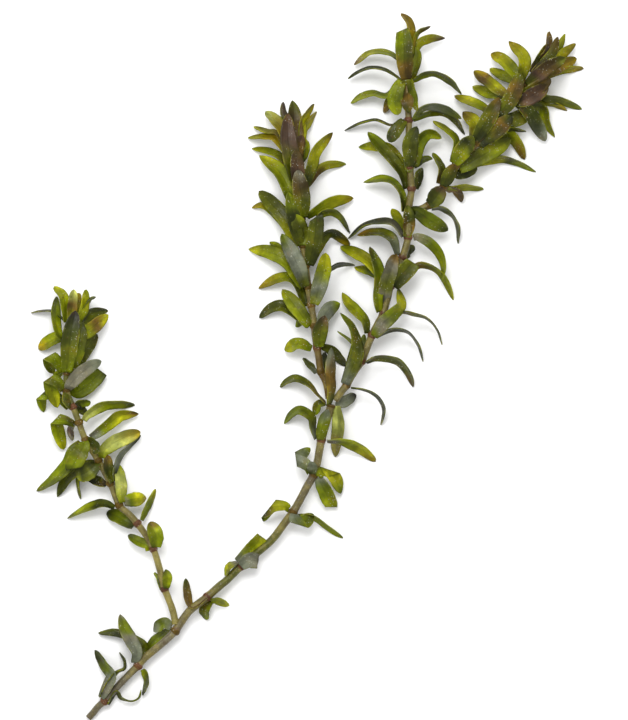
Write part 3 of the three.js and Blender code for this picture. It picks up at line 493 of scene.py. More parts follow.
RING_CLEARANCE = 0.06
RING_WALL = 0.34
SOLID_SIDES = 6  # of the stems of the solids, whose corners their rings clear


def leaf_root(radius):
    """How far from the middle of the stem a leaf starts: inside the wall of its whorl's ring."""
    bore = (radius + RING_CLEARANCE) / math.cos(math.pi / SOLID_SIDES) + RING_CLEARANCE / 2
    return bore + RING_WALL / 4


LEAF_ACROSS, LEAF_ALONG = 8, 30
LEAF_THICKNESS = 0.13
LIFT = 0.02  # of the lowest edge off the sheet
LOWEST = LIFT + LEAF_THICKNESS
BASE = 0.5  # the width of a leaf's base as a share of its greatest
WIDEST = 0.5  # where along the leaf it is widest
BASE_CURVE, TIP_CURVE = 0.8, 2.4
TIP = 0.002  # what is left of the width at the very tip, so that no face is empty


def outline_at(t, bluntness):
    """The half-width of a leaf as a share of its greatest: a clasping base and a rounded tip."""
    if t < WIDEST:
        return BASE + (1 - BASE) * math.sin(math.pi / 2 * t / WIDEST) ** BASE_CURVE
    return max(1 - ((t - WIDEST) / (1 - WIDEST)) ** TIP_CURVE, TIP) ** bluntness


def over_crease(spot, point, direction):
    """A place turned over a crease, which runs through a point, as seen from above."""
    away = spot - point
    turned = point + direction * (2 * away.dot(direction)) - away
    return Vector((turned.x, turned.y, spot.z))


def open_creases(points):
    """A leaf's midrib opened flat, and its creases, which are at the points that have a fourth number."""
    spots = [Vector(point[:3]) for point in points]
    creases = []
    for i in reversed(range(len(points))):
        if len(points[i]) > 3:
            come = (spots[i] - spots[i - 1]).to_2d().normalized()
            go = (spots[i + 1] - spots[i]).to_2d().normalized()
            direction = (come + go).normalized()
            beyond = (come - direction * come.dot(direction)).normalized()
            direction, beyond = direction.to_3d(), beyond.to_3d()
            creases.insert(0, (spots[i].copy(), direction, beyond))
            spots[i + 1:] = [over_crease(spot, spots[i], direction) for spot in spots[i + 1:]]
    return spots, creases


CREASE_DROP, CREASE_REACH = 0.3, 0.15  # mm that a folded end drops, and over what distance
# Painted shade: how much darker a leaf is along each of its creases
CREASE_SHADE = 0.45


def fold_leaf(blade, creases, through, tone):
    """Folds a flat leaf under itself at its creases, one after the other, and paints shade along each
    crease.
    """
    folded = blade.verts.layers.int.new("folded")
    for done, (point, direction, beyond) in enumerate(creases):
        everything = [*blade.verts, *blade.edges, *blade.faces]
        bmesh.ops.bisect_plane(blade, geom=everything, dist=MERGE, plane_co=point, plane_no=beyond)
        for vert in blade.verts:
            away = (vert.co - point).dot(beyond)
            if vert[folded] != done:
                continue
            # Painted shade along the crease
            vert[tone] = vert[tone] * (1 - CREASE_SHADE * math.exp(-((away / CREASE_REACH) ** 2)))
            if away > MERGE:
                vert.co = over_crease(vert.co, point, direction)
                vert.co.z -= CREASE_DROP * min(away / CREASE_REACH, 1)
                vert.co.z = max(vert.co.z, LOWEST)
                vert[through] = direction * (2 * vert[through].dot(direction)) - vert[through]
                vert[folded] = done + 1
    blade.verts.layers.int.remove(folded)


def join(whorl, part):
    """Adds a finished part to a whorl's mesh."""
    mesh = bpy.data.meshes.new("part")
    part.to_mesh(mesh)
    part.free()
    whorl.from_mesh(mesh)
    bpy.data.meshes.remove(mesh)


# What differs from leaf to leaf: the least and the most of each
CUP = 0.05, 0.34  # how hollow its upper side is, against its half-width
WAVE, BEAT, PHASE = (0.03, 0.10), (5, 11), (0, 6)  # its wavy edge: height in mm, pace and start
BLUNTNESS = 0.5, 0.8
PAINTED_HALF_LIGHT = 0.1, 0.45  # painted light and shade: how much lighter one half of it is than the other, as if one half of the folded leaf faced the light
ADRIFT = -50, 50  # where in the noise it is

# What differs from place to place on one leaf
FOLD_FROM, FOLD_TO = 0.15, 0.75  # the stretch of a leaf in which its roll changes
TWIST = 10  # degrees
DENTS, RAGGED = 0.06, 0.05  # mm off its plane, and the share that its edge wanders
PATCHY, SHIFT = 0.42, 0.16  # how much its brightness and the places of its letters wander
HALF_LIGHT_SHARPNESS = 4  # how sharply the painted light and shade of its halves part at the midrib
FLAT_AT = 0.35  # where between midrib and edge its cup crosses its plane
WAVE_ENDS = 1.2  # how soon its waves fade towards its tip


def grow_leaf(whorl, centre, along_stem, radius, leaf, brightness, dice):
    """Adds one leaf to a whorl's mesh."""
    letters, width, root_roll, tip_roll, *points = leaf
    points, creases = open_creases(points)
    first = points[0] - centre
    outward = (first - along_stem * first.dot(along_stem)).normalized()
    line = Line([centre + outward * leaf_root(radius), *points])
    cup, wave, beat, phase, bluntness = (
        dice.uniform(*span) for span in (CUP, WAVE, BEAT, PHASE, BLUNTNESS)
    )
    half_light = dice.choice((-1, 1)) * dice.uniform(*PAINTED_HALF_LIGHT)
    drift = Vector((dice.uniform(*ADRIFT), dice.uniform(*ADRIFT), 0))

    def wander(across, along, layer):
        """How far one quality of the leaf drifts at a place: each quality has a layer of the noise."""
        return noise.noise(drift + Vector((across, along, layer)))

    blade = tube_grid(LEAF_ACROSS, LEAF_ALONG)
    tone = blade.verts.layers.float_color["tone"]
    through = blade.verts.layers.float_vector.new("through")
    for vert in blade.verts:
        across, t = 2 * vert.co.x, vert.co.y + 0.5
        middle, along = line.at(t), line.along(t)
        turned = eased(min(max((t - FOLD_FROM) / (FOLD_TO - FOLD_FROM), 0), 1))
        roll = root_roll + (tip_roll - root_roll) * turned + TWIST * wander(0, t * 3, 0)
        face = (UP - along * UP.dot(along)).normalized()
        face.rotate(Quaternion(along, math.radians(roll)))
        side = along.cross(face)
        half = outline_at(t, bluntness) * width / 2
        middle.z = max(middle.z, half * abs(side.z) + LOWEST)
        ripple = wave * math.sin(beat * t + phase + (2 if across > 0 else 0)) * abs(across) ** 2
        ripple *= math.sin(math.pi * min(t * WAVE_ENDS, 1))
        hollow = cup * half * (across**2 - FLAT_AT) + ripple + DENTS * wander(across * 1.5, t * 7, 3)
        edge = 1 + RAGGED * wander(across * 0.5, t * 9, 7)
        vert.co = middle + side * half * across * edge + face * hollow
        vert.co.z = max(vert.co.z, LOWEST)
        patch = wander(across * 0.8, t * 4, 11)
        # Painted light and shade: one half of the leaf lighter than the other
        light = brightness * (1 + PATCHY * patch) * (1 + half_light * math.tanh(HALF_LIGHT_SHARPNESS * across))
        vert[tone] = Vector(shade(letters, t + SHIFT * patch)) * light
        vert[through] = face * LEAF_THICKNESS
    bmesh.ops.remove_doubles(blade, verts=blade.verts, dist=MERGE)
    fold_leaf(blade, creases, through, tone)
    for part in bmesh.ops.extrude_face_region(blade, geom=blade.faces[:])["geom"]:
        if isinstance(part, bmesh.types.BMVert):
            part.co -= part[through]
    blade.verts.layers.float_vector.remove(blade.verts.layers.float_vector["through"])
    bmesh.ops.recalc_face_normals(blade, faces=blade.faces)
    join(whorl, blade)


RING_SIDES, RING_ROWS = 24, 8
RING_LENGTH = 0.9
RING_SUNK = 0.94  # of a ring's open ends, against the stem: some stand up to 0.07 mm above its skin
RING_SWELL, RING_KNOBS = 0.16, 0.1  # mm
RING_BLUNT = 0.7
KNOB_DETAIL, BLOTCH_DETAIL = 1.6, 2
RING_BLOTCHES = 0.5


def grow_ring(whorl, stem_line, share, radius, letter, dice):
    """Adds the swollen ring at a node, where the bases of the leaves meet round the stem."""
    reach = RING_LENGTH / 2 / stem_line.length
    low, high = max(share - reach, 0), min(share + reach, 1)
    line = Line([stem_line.at(low + (high - low) * i / 4) for i in range(5)])
    drift = Vector((dice.uniform(*ADRIFT), 0, 0))

    def radius_at(part, turn):
        bulge = math.sin(math.pi * part) ** RING_BLUNT
        knobs = noise.noise(drift + Vector((math.cos(turn), math.sin(turn), part)) * KNOB_DETAIL)
        return radius * RING_SUNK + (RING_SWELL + RING_KNOBS * knobs) * bulge

    def tone_at(part, turn):
        dark = noise.noise(drift + Vector((math.cos(turn), math.sin(turn), part * 2)) * BLOTCH_DETAIL)
        return Vector(shade(letter, 0)) * (1 + RING_BLOTCHES * dark)

    grid = tube_grid(RING_SIDES, RING_ROWS)
    roll_tube(grid, line, radius_at, tone_at)
    join(whorl, grid)


def leaf_finish(name, white_specks_and_glints, browning):
    """The skin of the leaves: cells, a midrib, an edge with painted rim light or painted rim shade, brown
    spots, pale specks with painted glints, and a painted grey sheen of water.
    """
    material, start = finish(name)
    place = start.node("TexCoord", out="Object")
    tone = start.node("Attribute", {"attribute_name": "tone"}, out="Color")
    # The amount of painted grey sheen, kept in the alpha of the tone
    painted_sheen = start.node("Attribute", {"attribute_name": "tone"}, out="Alpha")
    leaf_map = start.node("UVMap", {"uv_map": "UVMap"})
    u = start.node("SeparateXYZ", {}, {"Vector": leaf_map}, out="X")
    across = start.maths("ABSOLUTE", u * 2 - 1)
    cloud = start.node("TexNoise", {}, {"Vector": place, "Scale": 480.0, "Detail": 4.0, "Roughness": 0.6})
    mottle = start.node("TexNoise", {}, {"Vector": place, "Scale": 1700.0, "Detail": 3.0})
    long_way = start.node("Mapping", {}, {"Vector": leaf_map, "Scale": (16.0, 5.0, 1.0)})
    veins = start.node("TexNoise", {}, {"Vector": long_way, "Scale": 1.0, "Detail": 2.0})
    cell_map = start.node("Mapping", {}, {"Vector": leaf_map, "Scale": (34.0, 70.0, 1.0)})
    cells = start.node("TexVoronoi", {}, {"Vector": cell_map, "Scale": 1.0}, out="Distance")
    spots = start.node("TexVoronoi", {}, {"Vector": place, "Scale": 900.0}, out="Distance")
    dots = start.node("TexVoronoi", {}, {"Vector": place, "Scale": 2900.0}, out="Distance")

    dim = tone.mix(cloud.ramp((0.42, 1), (0.56, 0)) * 0.6, colour(0.45, 0.48, 0.5), "MULTIPLY")
    glow = dim.mix(mottle.ramp((0.5, 0), (0.7, 1)) * 0.4, colour(1.7, 1.6, 1.2), "MULTIPLY")
    veined = glow.mix(veins.ramp((0.35, 1), (0.5, 0)) * 0.3, colour(0.5, 0.52, 0.5), "MULTIPLY")
    ribbed = veined.mix(across.ramp((0.03, 0.45), (0.12, 0)), colour(0.5, 0.5, 0.5), "MULTIPLY")
    # Painted rim light and painted rim shade: the edge made lighter in some places and darker in others
    painted_rim_mask = across.ramp((0.84, 0), (0.97, 1))
    rim_painted = ribbed.mix(painted_rim_mask * cloud.ramp((0.46, 0), (0.62, 1)) * 0.6, colour(0.30, 0.31, 0.02))
    rim_painted = rim_painted.mix(painted_rim_mask * cloud.ramp((0.38, 1), (0.48, 0)) * 0.6, colour(0.03, 0.032, 0.008))
    rust = cloud.ramp((0.56, 0), (0.66, 1)) * veins.ramp((0.4, 0), (0.6, 1))
    rusted = rim_painted.mix(rust * browning * 0.8, colour(0.16, 0.085, 0.006))
    spotted = rusted.mix(spots.ramp((0.12, 1), (0.24, 0)) * mottle.ramp((0.45, 0), (0.6, 1)) * browning,
                         colour(0.060, 0.030, 0.006))
    # Painted sheen: greys the colour where water on the leaf would reflect the light
    sheen_amount = painted_sheen * cloud.ramp((0.4, 0.2), (0.62, 1))
    sheened = spotted.mix(sheen_amount * 0.45, colour(0.19, 0.205, 0.165))
    # Pale specks: partly real specks on the leaf, partly painted glints off the water on it
    specks = dots.ramp((0.13, 1), (0.22, 0)) * cloud.ramp((0.47, 0), (0.58, 1))
    specked_and_glinting = sheened.mix(specks * white_specks_and_glints, colour(0.60, 0.61, 0.50))
    relief = cells * 0.25 + mottle * 0.8 + veins * 0.9 - across.ramp((0.0, 0.8), (0.15, 0))
    gloss = start.node("BsdfPrincipled", {}, {
        "Base Color": specked_and_glinting,
        "Roughness": mottle * 0.35 + 0.2,
        "Specular IOR Level": 0.12,
        "Coat Weight": 0.04,
        "Coat Roughness": 0.1,
        "Normal": start.node("Bump", {}, {"Height": relief, "Strength": 0.5, "Distance": 0.07 * MM}),
    })
    through = start.node("BsdfTranslucent", {}, {"Color": colour(0.34, 0.40, 0.02)})
    green = start.node("SeparateColor", {}, {"Color": tone}, out="Green")
    thinness = green.ramp((0.02, 0.02), (0.35, 0.4))
    surface_of(start, start.node("MixShader", {}, {0: thinness, 1: gloss, 2: through}))
    return material


leaf_skin = leaf_finish("leaf_skin", white_specks_and_glints=0.6, browning=0.6)
young_leaf_skin = leaf_finish("young_leaf_skin", white_specks_and_glints=0.8, browning=0.7)


def grow_whorls(stem_points, radius, whorls, brightness):
    """Every whorl of a shoot, each on its own node. The brightness is that of the shoot's leaves."""
    stem_line = Line(stem_points)
    for name, (x, y), ring_letter, leaves in whorls:
        dice = random.Random(name)
        whorl = bmesh.new()
        whorl.loops.layers.uv.new("UVMap")
        whorl.verts.layers.float_color.new("tone")
        share = stem_line.nearest(x, y)
        centre, along = stem_line.at(share), stem_line.along(share)
        grow_ring(whorl, stem_line, share, radius, ring_letter, dice)
        for leaf in leaves:
            grow_leaf(whorl, centre, along, radius, leaf, brightness, dice)
        young = name.endswith("tip")
        skin = young_leaf_skin if young else leaf_skin
        place_piece(name + "_leaves", whorl, skin, name)


grow_whorls(MAIN_STEM_LOWER + MAIN_STEM_UPPER[1:], MAIN_RADIUS, MAIN_WHORLS, brightness=1.22)


# ---- The left shoot's whorls
# The left shoot forks off first. Its lower whorls have lost leaves, and the upper ones are close together
# and end in a tip of young leaves that stand up round the bud. Each leaf clasps the stem at its node.

LEFT_WHORLS = (
    ("left_whorl_1", (-21.3, -33.2), "r", (
        ("glo", 1.5, 18, 12, (-20.95, -32.4, 3.3), (-20.85, -31.4, 3.5), (-21.1, -30.2, 3.3)),
        ("ol", 1.8, 72, 72, (-22.2, -31.8, 1.7), (-22.75, -30.75, 1)),
    )),
    ("left_whorl_2", (-23, -27.2), "r", (
        ("gglb", 2.3, 8, 12, (-22.5, -26.6, 3.2), (-22.55, -25.3, 3.7), (-22.95, -24.2, 3.6),
         (-23.45, -23.1, 3.3)),
        ("lgd", 1.5, 22, 22, (-23.9, -26.7, 2.4), (-25.2, -26.1, 2), (-26.8, -25.15, 1.4)),
    )),
    ("left_whorl_3", (-25.3, -23.4), "r", (
        ("ggy", 1.8, 62, 60, (-23.9, -20.8, 1.7), (-22.65, -18.3, 0.2)),
        ("dgd", 2.2, 20, 20, (-27.9, -22.6, 1.5), (-30, -21.7, 0.2)),
    )),
    ("left_whorl_4", (-28, -20.6), "b", (
        ("tgyb", 2.2, 15, 15, (-25.9, -19.8, 3.2), (-24, -19.6, 2.7)),
        ("ddld", 1.9, 50, 65, (-30.4, -20.4, 2.7), (-32.5, -20.95, 1.9), (-36, -22.65, 0.2)),
        ("lpl", 2, 30, 30, (-27.7, -18.4, 3.7), (-27.9, -16.4, 2.8), (-28.5, -14.2, 1.6)),
    )),
    ("left_whorl_5", (-29.4, -17.4), "b", (
        ("dsd", 1.8, 68, 68, (-28.7, -15.3, 3.4), (-27.8, -13, 2.2), (-24.9, -10.25, 0.2)),
        ("kdd", 1.8, 40, 40, (-31.2, -17.2, 1.8), (-33, -16.4, 0.3)),
        ("odb", 1.9, 46, 40, (-29.7, -14.9, 4.4), (-29.7, -13.1, 4.5)),
    )),
    ("left_whorl_6", (-31.2, -14), "b", (
        ("lpa", 2.3, 5, 15, (-30.2, -12.4, 3.4), (-28.2, -11, 2.9), (-24.9, -9.7, 2)),
        ("dod", 2, 41, 41, (-33, -14.6, 1.6), (-35, -15.9, 1.3), (-36.3, -17.2, 1), (-37.5, -19.5, 0.2)),
        ("dgd", 1.8, 75, 75, (-34.2, -16.4, 0.9), (-34, -19.8, 0.2)),
        ("ddodo", 2.8, 6, 8, (-31.9, -14.8, 3.6), (-33, -15.7, 3.9), (-34.5, -16.3, 3.3)),
    )),
    ("left_whorl_7", (-33.1, -10.9), "b", (
        ("dgo", 2.2, 20, 46, (-35, -12.6, 3.6), (-35.9, -14.8, 2.8), (-38.2, -17, 1.6),
         (-40.6, -18.6, 0.2)),
        ("sgyb", 2, 22, 35, (-31.5, -10, 3), (-29.4, -8.4, 2.6), (-27.85, -7.3, 2), (-25.2, -7.05, 1)),
        ("dd", 1.7, 50, 40, (-31.5, -11.8, 4.4), (-31.8, -13, 4.4)),
        ("gogd", 2.7, 6, 6, (-33.4, -11.8, 3.9), (-34.2, -13.3, 4.5), (-35.3, -15.3, 4, 1),
         (-35.9, -14.8, 3.4)),
    )),
    ("left_whorl_8", (-34.1, -8.3), "b", (
        ("dgly", 2, 35, 8, (-36.1, -8, 3.6), (-37.6, -7.75, 3.7, 1), (-37.3, -9.3, 2.8),
         (-36.45, -12.4, 1)),
        ("pld", 2, 45, 50, (-32.65, -7.1, 3.2), (-30.55, -5.85, 2.4), (-28.3, -5.6, 1.4),
         (-25.8, -5.75, 0.2)),
        ("tvt", 1.7, 55, 55, (-35.4, -9.4, 2.2), (-35.2, -11.1, 1.6)),
    )),
    ("left_whorl_9", (-35, -5.9), "r", (
        ("dgg", 1.7, 35, 8, (-37.6, -4.3, 2.2), (-39.75, -4.1, 2.3, 1), (-39.75, -5.2, 1.6),
         (-39.45, -6.8, 0.5)),
        ("do", 1.9, 54, 54, (-35.9, -5.1, 4.2), (-36.3, -3.8, 4.6)),
        ("do", 1.7, 40, 40, (-33.8, -6.4, 2.2), (-33, -7.2, 1.6)),
        ("dg", 1.6, 50, 50, (-33.8, -5.4, 3.8), (-32.3, -5.3, 4)),
    )),
    ("left_whorl_10", (-36, -3.4), "b", (
        ("ogy", 2.2, 30, 6, (-37.1, -2.3, 4.3), (-38.4, -1.55, 4.4, 1), (-38.15, -3.2, 4),
         (-37.3, -6.1, 2.9)),
        ("tts", 2.1, 8, 20, (-35.3, -2.6, 4.7), (-33.8, -1, 4.6), (-32.3, 0.1, 4.2), (-30.7, 0.9, 3.3)),
        ("ggd", 2.5, 15, 12, (-34.1, -3.7, 1.9), (-32.3, -2.2, 1.6), (-30.7, -0.7, 1.3, 1),
         (-31.2, -1.6, 0.7)),
    )),
    ("left_whorl_11", (-35.8, -0.8), "b", (
        ("ggo", 2, 28, 6, (-37.4, 0.9, 3.8), (-38.55, 1.7, 3.9, 1), (-38.45, 0.5, 3), (-38.1, -1, 1.4)),
        ("godk", 2.6, 4, 8, (-35.5, 2.6, 5.2), (-35.1, 5.4, 5.4), (-34.5, 8.4, 5)),
        ("god", 2.1, 25, 25, (-34.2, 0.8, 2.4), (-33, 2.7, 2), (-31.4, 4.9, 1.4)),
        ("gl", 1.4, 40, 40, (-37, -1, 2), (-38, -0.9, 1.3)),
        ("ogod", 2.4, 12, 12, (-34.6, 1.6, 4.4), (-33.9, 4.2, 4.6), (-33.5, 6.8, 4.2)),
    )),
    ("left_whorl_12", (-35.4, 4.2), "b", (
        ("glby", 2.1, 20, 20, (-33.5, 4.8, 3.9), (-31.8, 6.1, 3.1), (-29.7, 7.85, 1.9)),
        ("sod", 1.9, 40, 40, (-33.6, 6.6, 1.6), (-32.1, 8.1, 1.2), (-29.8, 8.4, 0.2)),
        ("glgo", 2, 50, 46, (-37.1, 5.2, 3.6), (-37.5, 7.2, 3), (-37.4, 10.6, 1.4)),
        ("gla", 2.1, 25, 25, (-37.5, 4.3, 1.8), (-38.8, 3.7, 1.3), (-40.3, 2.7, 0.2)),
    )),
    ("left_tip", (-35.2, 7.2), "b", (
        ("dk", 1.5, 75, 78, (-38, 8.3, 1.4), (-39.5, 8.45, 1), (-41.4, 8.2, 0.2)),
        ("glyl", 1.9, 50, 50, (-33.4, 8.6, 3.4), (-33, 11.6, 2.4)),
        ("gly", 1.9, 46, 46, (-36.3, 10.4, 3.6), (-37.8, 12.1, 2.6)),
        ("lbp", 1.6, 20, 20, (-34.9, 10.3, 4), (-34.8, 11.6, 3.6)),
        ("go", 1.5, 70, 70, (-32.6, 9.8, 2.6), (-31.6, 10.4, 1.8)),
        ("ga", 1.5, 20, 20, (-34.4, 9.9, 2.6), (-33.9, 11, 1.8)),
    )),
)

grow_whorls(LEFT_STEM, SHOOT_RADIUS, LEFT_WHORLS, brightness=1.5)


# ---- The middle shoot's whorls
# The middle shoot forks off at the end of the main stem. Broad leaves lie over its stem like tiles, and
# some leaves near its tip are purple-brown. Each leaf clasps the stem at its node.

MIDDLE_WHORLS = (
    ("middle_whorl_1", (2.1, -0.7), "b", (
        ("sod", 1.7, 60, 60, (0.6, 0.1, 2.4), (-0.55, 1.4, 1.4)),
        ("od", 1.7, 50, 50, (2.6, 0.6, 1.7), (2.8, 2.2, 0.4)),
    )),
    ("middle_whorl_2", (1.5, 2.9), "r", (
        ("gly", 2.1, 36, 31, (-1.2, 3.5, 3), (-3.4, 2.65, 1)),
        ("ood", 2, 41, 41, (3.9, 2.3, 2.4), (5.7, 0.1, 0.2)),
        ("gov", 2.3, 14, 17, (2, 5.2, 4.8), (2.7, 7.7, 5)),
    )),
    ("middle_whorl_3", (1.1, 6.2), "b", (
        ("gll", 2.3, 10, 20, (-0.9, 8, 4), (-2.3, 9.9, 3.6), (-3.7, 11.6, 2.8)),
        ("god", 2, 36, 36, (-3.1, 8.9, 1.6), (-5.2, 8.9, 1.2), (-7.2, 7.4, 0.2)),
        ("ssg", 2.2, 8, 15, (3.2, 8.5, 3.2), (5, 9.5, 2.2)),
        ("dg", 1.5, 40, 40, (-0.4, 7.2, 2.4), (-1.7, 6, 1.6)),
    )),
    ("middle_whorl_4", (0.7, 9.2), "b", (
        ("lsly", 2.4, 5, 8, (1.8, 11.8, 5.4), (2.5, 14.4, 5.8), (2.8, 17, 6.4)),
        ("odd", 1.8, 70, 70, (3, 13.8, 2.6), (4.2, 15, 2.2), (5.4, 15.3, 1.6), (7.2, 15.2, 0.2)),
        ("dla", 2, 41, 41, (-1.9, 12.9, 2.1), (-4.2, 13.3, 1.6), (-7.3, 11.8, 0.2)),
    )),
    ("middle_whorl_5", (0.2, 12), "b", (
        ("ossg", 2.4, 5, 10, (-1.2, 14.8, 4.8), (-2.3, 17.2, 4.4), (-3.8, 19.9, 3.4)),
        ("glly", 2.3, 12, 15, (-2.8, 15.6, 2.8), (-5.5, 17.2, 2), (-8.8, 17.7, 0.2)),
        ("dol", 1.8, 45, 45, (-4, 17.5, 1.2), (-5.6, 18.8, 0.2)),
    )),
    ("middle_whorl_6", (-0.2, 15.1), "b", (
        ("dod", 2.5, 2, 2, (1.1, 18.6, 5), (1.4, 21, 5.3), (1.6, 22.6, 5.3, 1), (2.5, 22.4, 4.7)),
        ("goda", 2, 45, 41, (2.2, 19, 3.2), (4, 20, 2.6), (6.4, 18.2, 0.2)),
    )),
    ("middle_whorl_7", (-0.6, 18.2), "b", (
        ("odg", 2.2, 17, 17, (-1.6, 20.7, 4.8), (-2.2, 23.6, 5.4), (-2.8, 26.1, 5.4)),
        ("yoo", 2.4, 5, 10, (-3.2, 22, 2.8), (-5.2, 24.4, 2), (-7.2, 26.4, 0.2)),
        ("dola", 1.7, 46, 46, (-4.9, 23, 1), (-6.7, 24.2, 0.7), (-8.3, 23.9, 0.2)),
        ("oold", 1.8, 65, 60, (1.6, 22.2, 3.2), (3.4, 23.2, 3), (5, 22.4, 2.2), (6.4, 20, 0.2)),
        ("gool", 2.4, 5, 5, (-0.7, 19.6, 4), (-1.2, 21.2, 5), (-1.9, 22.8, 5.1)),
    )),
    ("middle_whorl_8", (-0.8, 22.3), "b", (
        ("glya", 2, 41, 28, (1.5, 23.4, 3.9), (4, 24.7, 2.8), (7, 25.3, 1)),
        ("dgly", 2.3, 10, 15, (-2.6, 26.4, 4), (-4.2, 29.4, 3.4), (-7.2, 31.7, 1.6)),
        ("goet", 2.6, 5, 5, (-0.7, 24.5, 5.3), (-1, 27, 5.5), (-1.4, 29.4, 5.5)),
    )),
    ("middle_whorl_9", (-1.1, 26.6), "b", (
        ("doyb", 2.1, 25, 45, (0.6, 29.6, 4.6), (1.5, 32.3, 3.8), (3.9, 35.1, 2)),
        ("dbyl", 1.9, 50, 50, (1.3, 29.2, 2.4), (3.2, 30.3, 1.8), (5.9, 30.4, 0.2)),
        ("oovv", 2.6, 12, 10, (-2.3, 31, 5.2), (-2.8, 34.5, 5.2), (-2.85, 37.9, 4.6)),
        ("dbly", 1.9, 50, 50, (-3.7, 31, 1.8), (-5.6, 32.3, 1.2), (-8.3, 32.8, 0.2)),
        ("eve", 2.2, 10, 10, (-1.4, 29.4, 5.5), (-1.6, 32.4, 5.6)),
    )),
    ("middle_tip", (-1.5, 31), "b", (
        ("vbv", 1.9, 25, 30, (-1.3, 32.4, 4.6), (-0.7, 34.6, 4.8)),
        ("yay", 1.8, 60, 60, (-4.5, 33.9, 2.8), (-6.5, 34.5, 2), (-8.9, 34.4, 0.2)),
        ("dby", 1.8, 62, 62, (-4.3, 34.7, 1.7), (-6, 35.3, 1.2), (-8, 36.1, 0.2)),
        ("lap", 2.1, 36, 25, (-3.4, 35.2, 3.4), (-4.9, 37.1, 2.8), (-6.2, 38.3, 1.6)),
        ("obeo", 2.4, 20, 15, (-1.8, 36.2, 3.8), (-1.9, 38, 3.5), (-2.2, 39.9, 2.8)),
        ("oya", 1.8, 56, 56, (-0.7, 36.2, 3), (0, 37.8, 2.4), (1.15, 39.4, 1.4)),
        ("dya", 1.8, 56, 56, (-0.5, 35, 2.4), (0.3, 36.5, 1.8), (1.5, 38.3, 0.2)),
        ("dly", 1.6, 50, 50, (-0.1, 32.7, 2.8), (-0.4, 34.4, 2.2)),
        ("vov", 1.9, 50, 50, (-2.6, 36, 3.2), (-3.5, 38, 2.8), (-3.5, 39.7, 2)),
    )),
)

grow_whorls(MIDDLE_STEM, SHOOT_RADIUS, MIDDLE_WHORLS, brightness=1.1)


# ---- The right shoot's whorls
# The right shoot is the longest. Most of its leaves are narrow and arch away from the stem on both
# sides, and show their edges from above. Each leaf clasps the stem at its node.

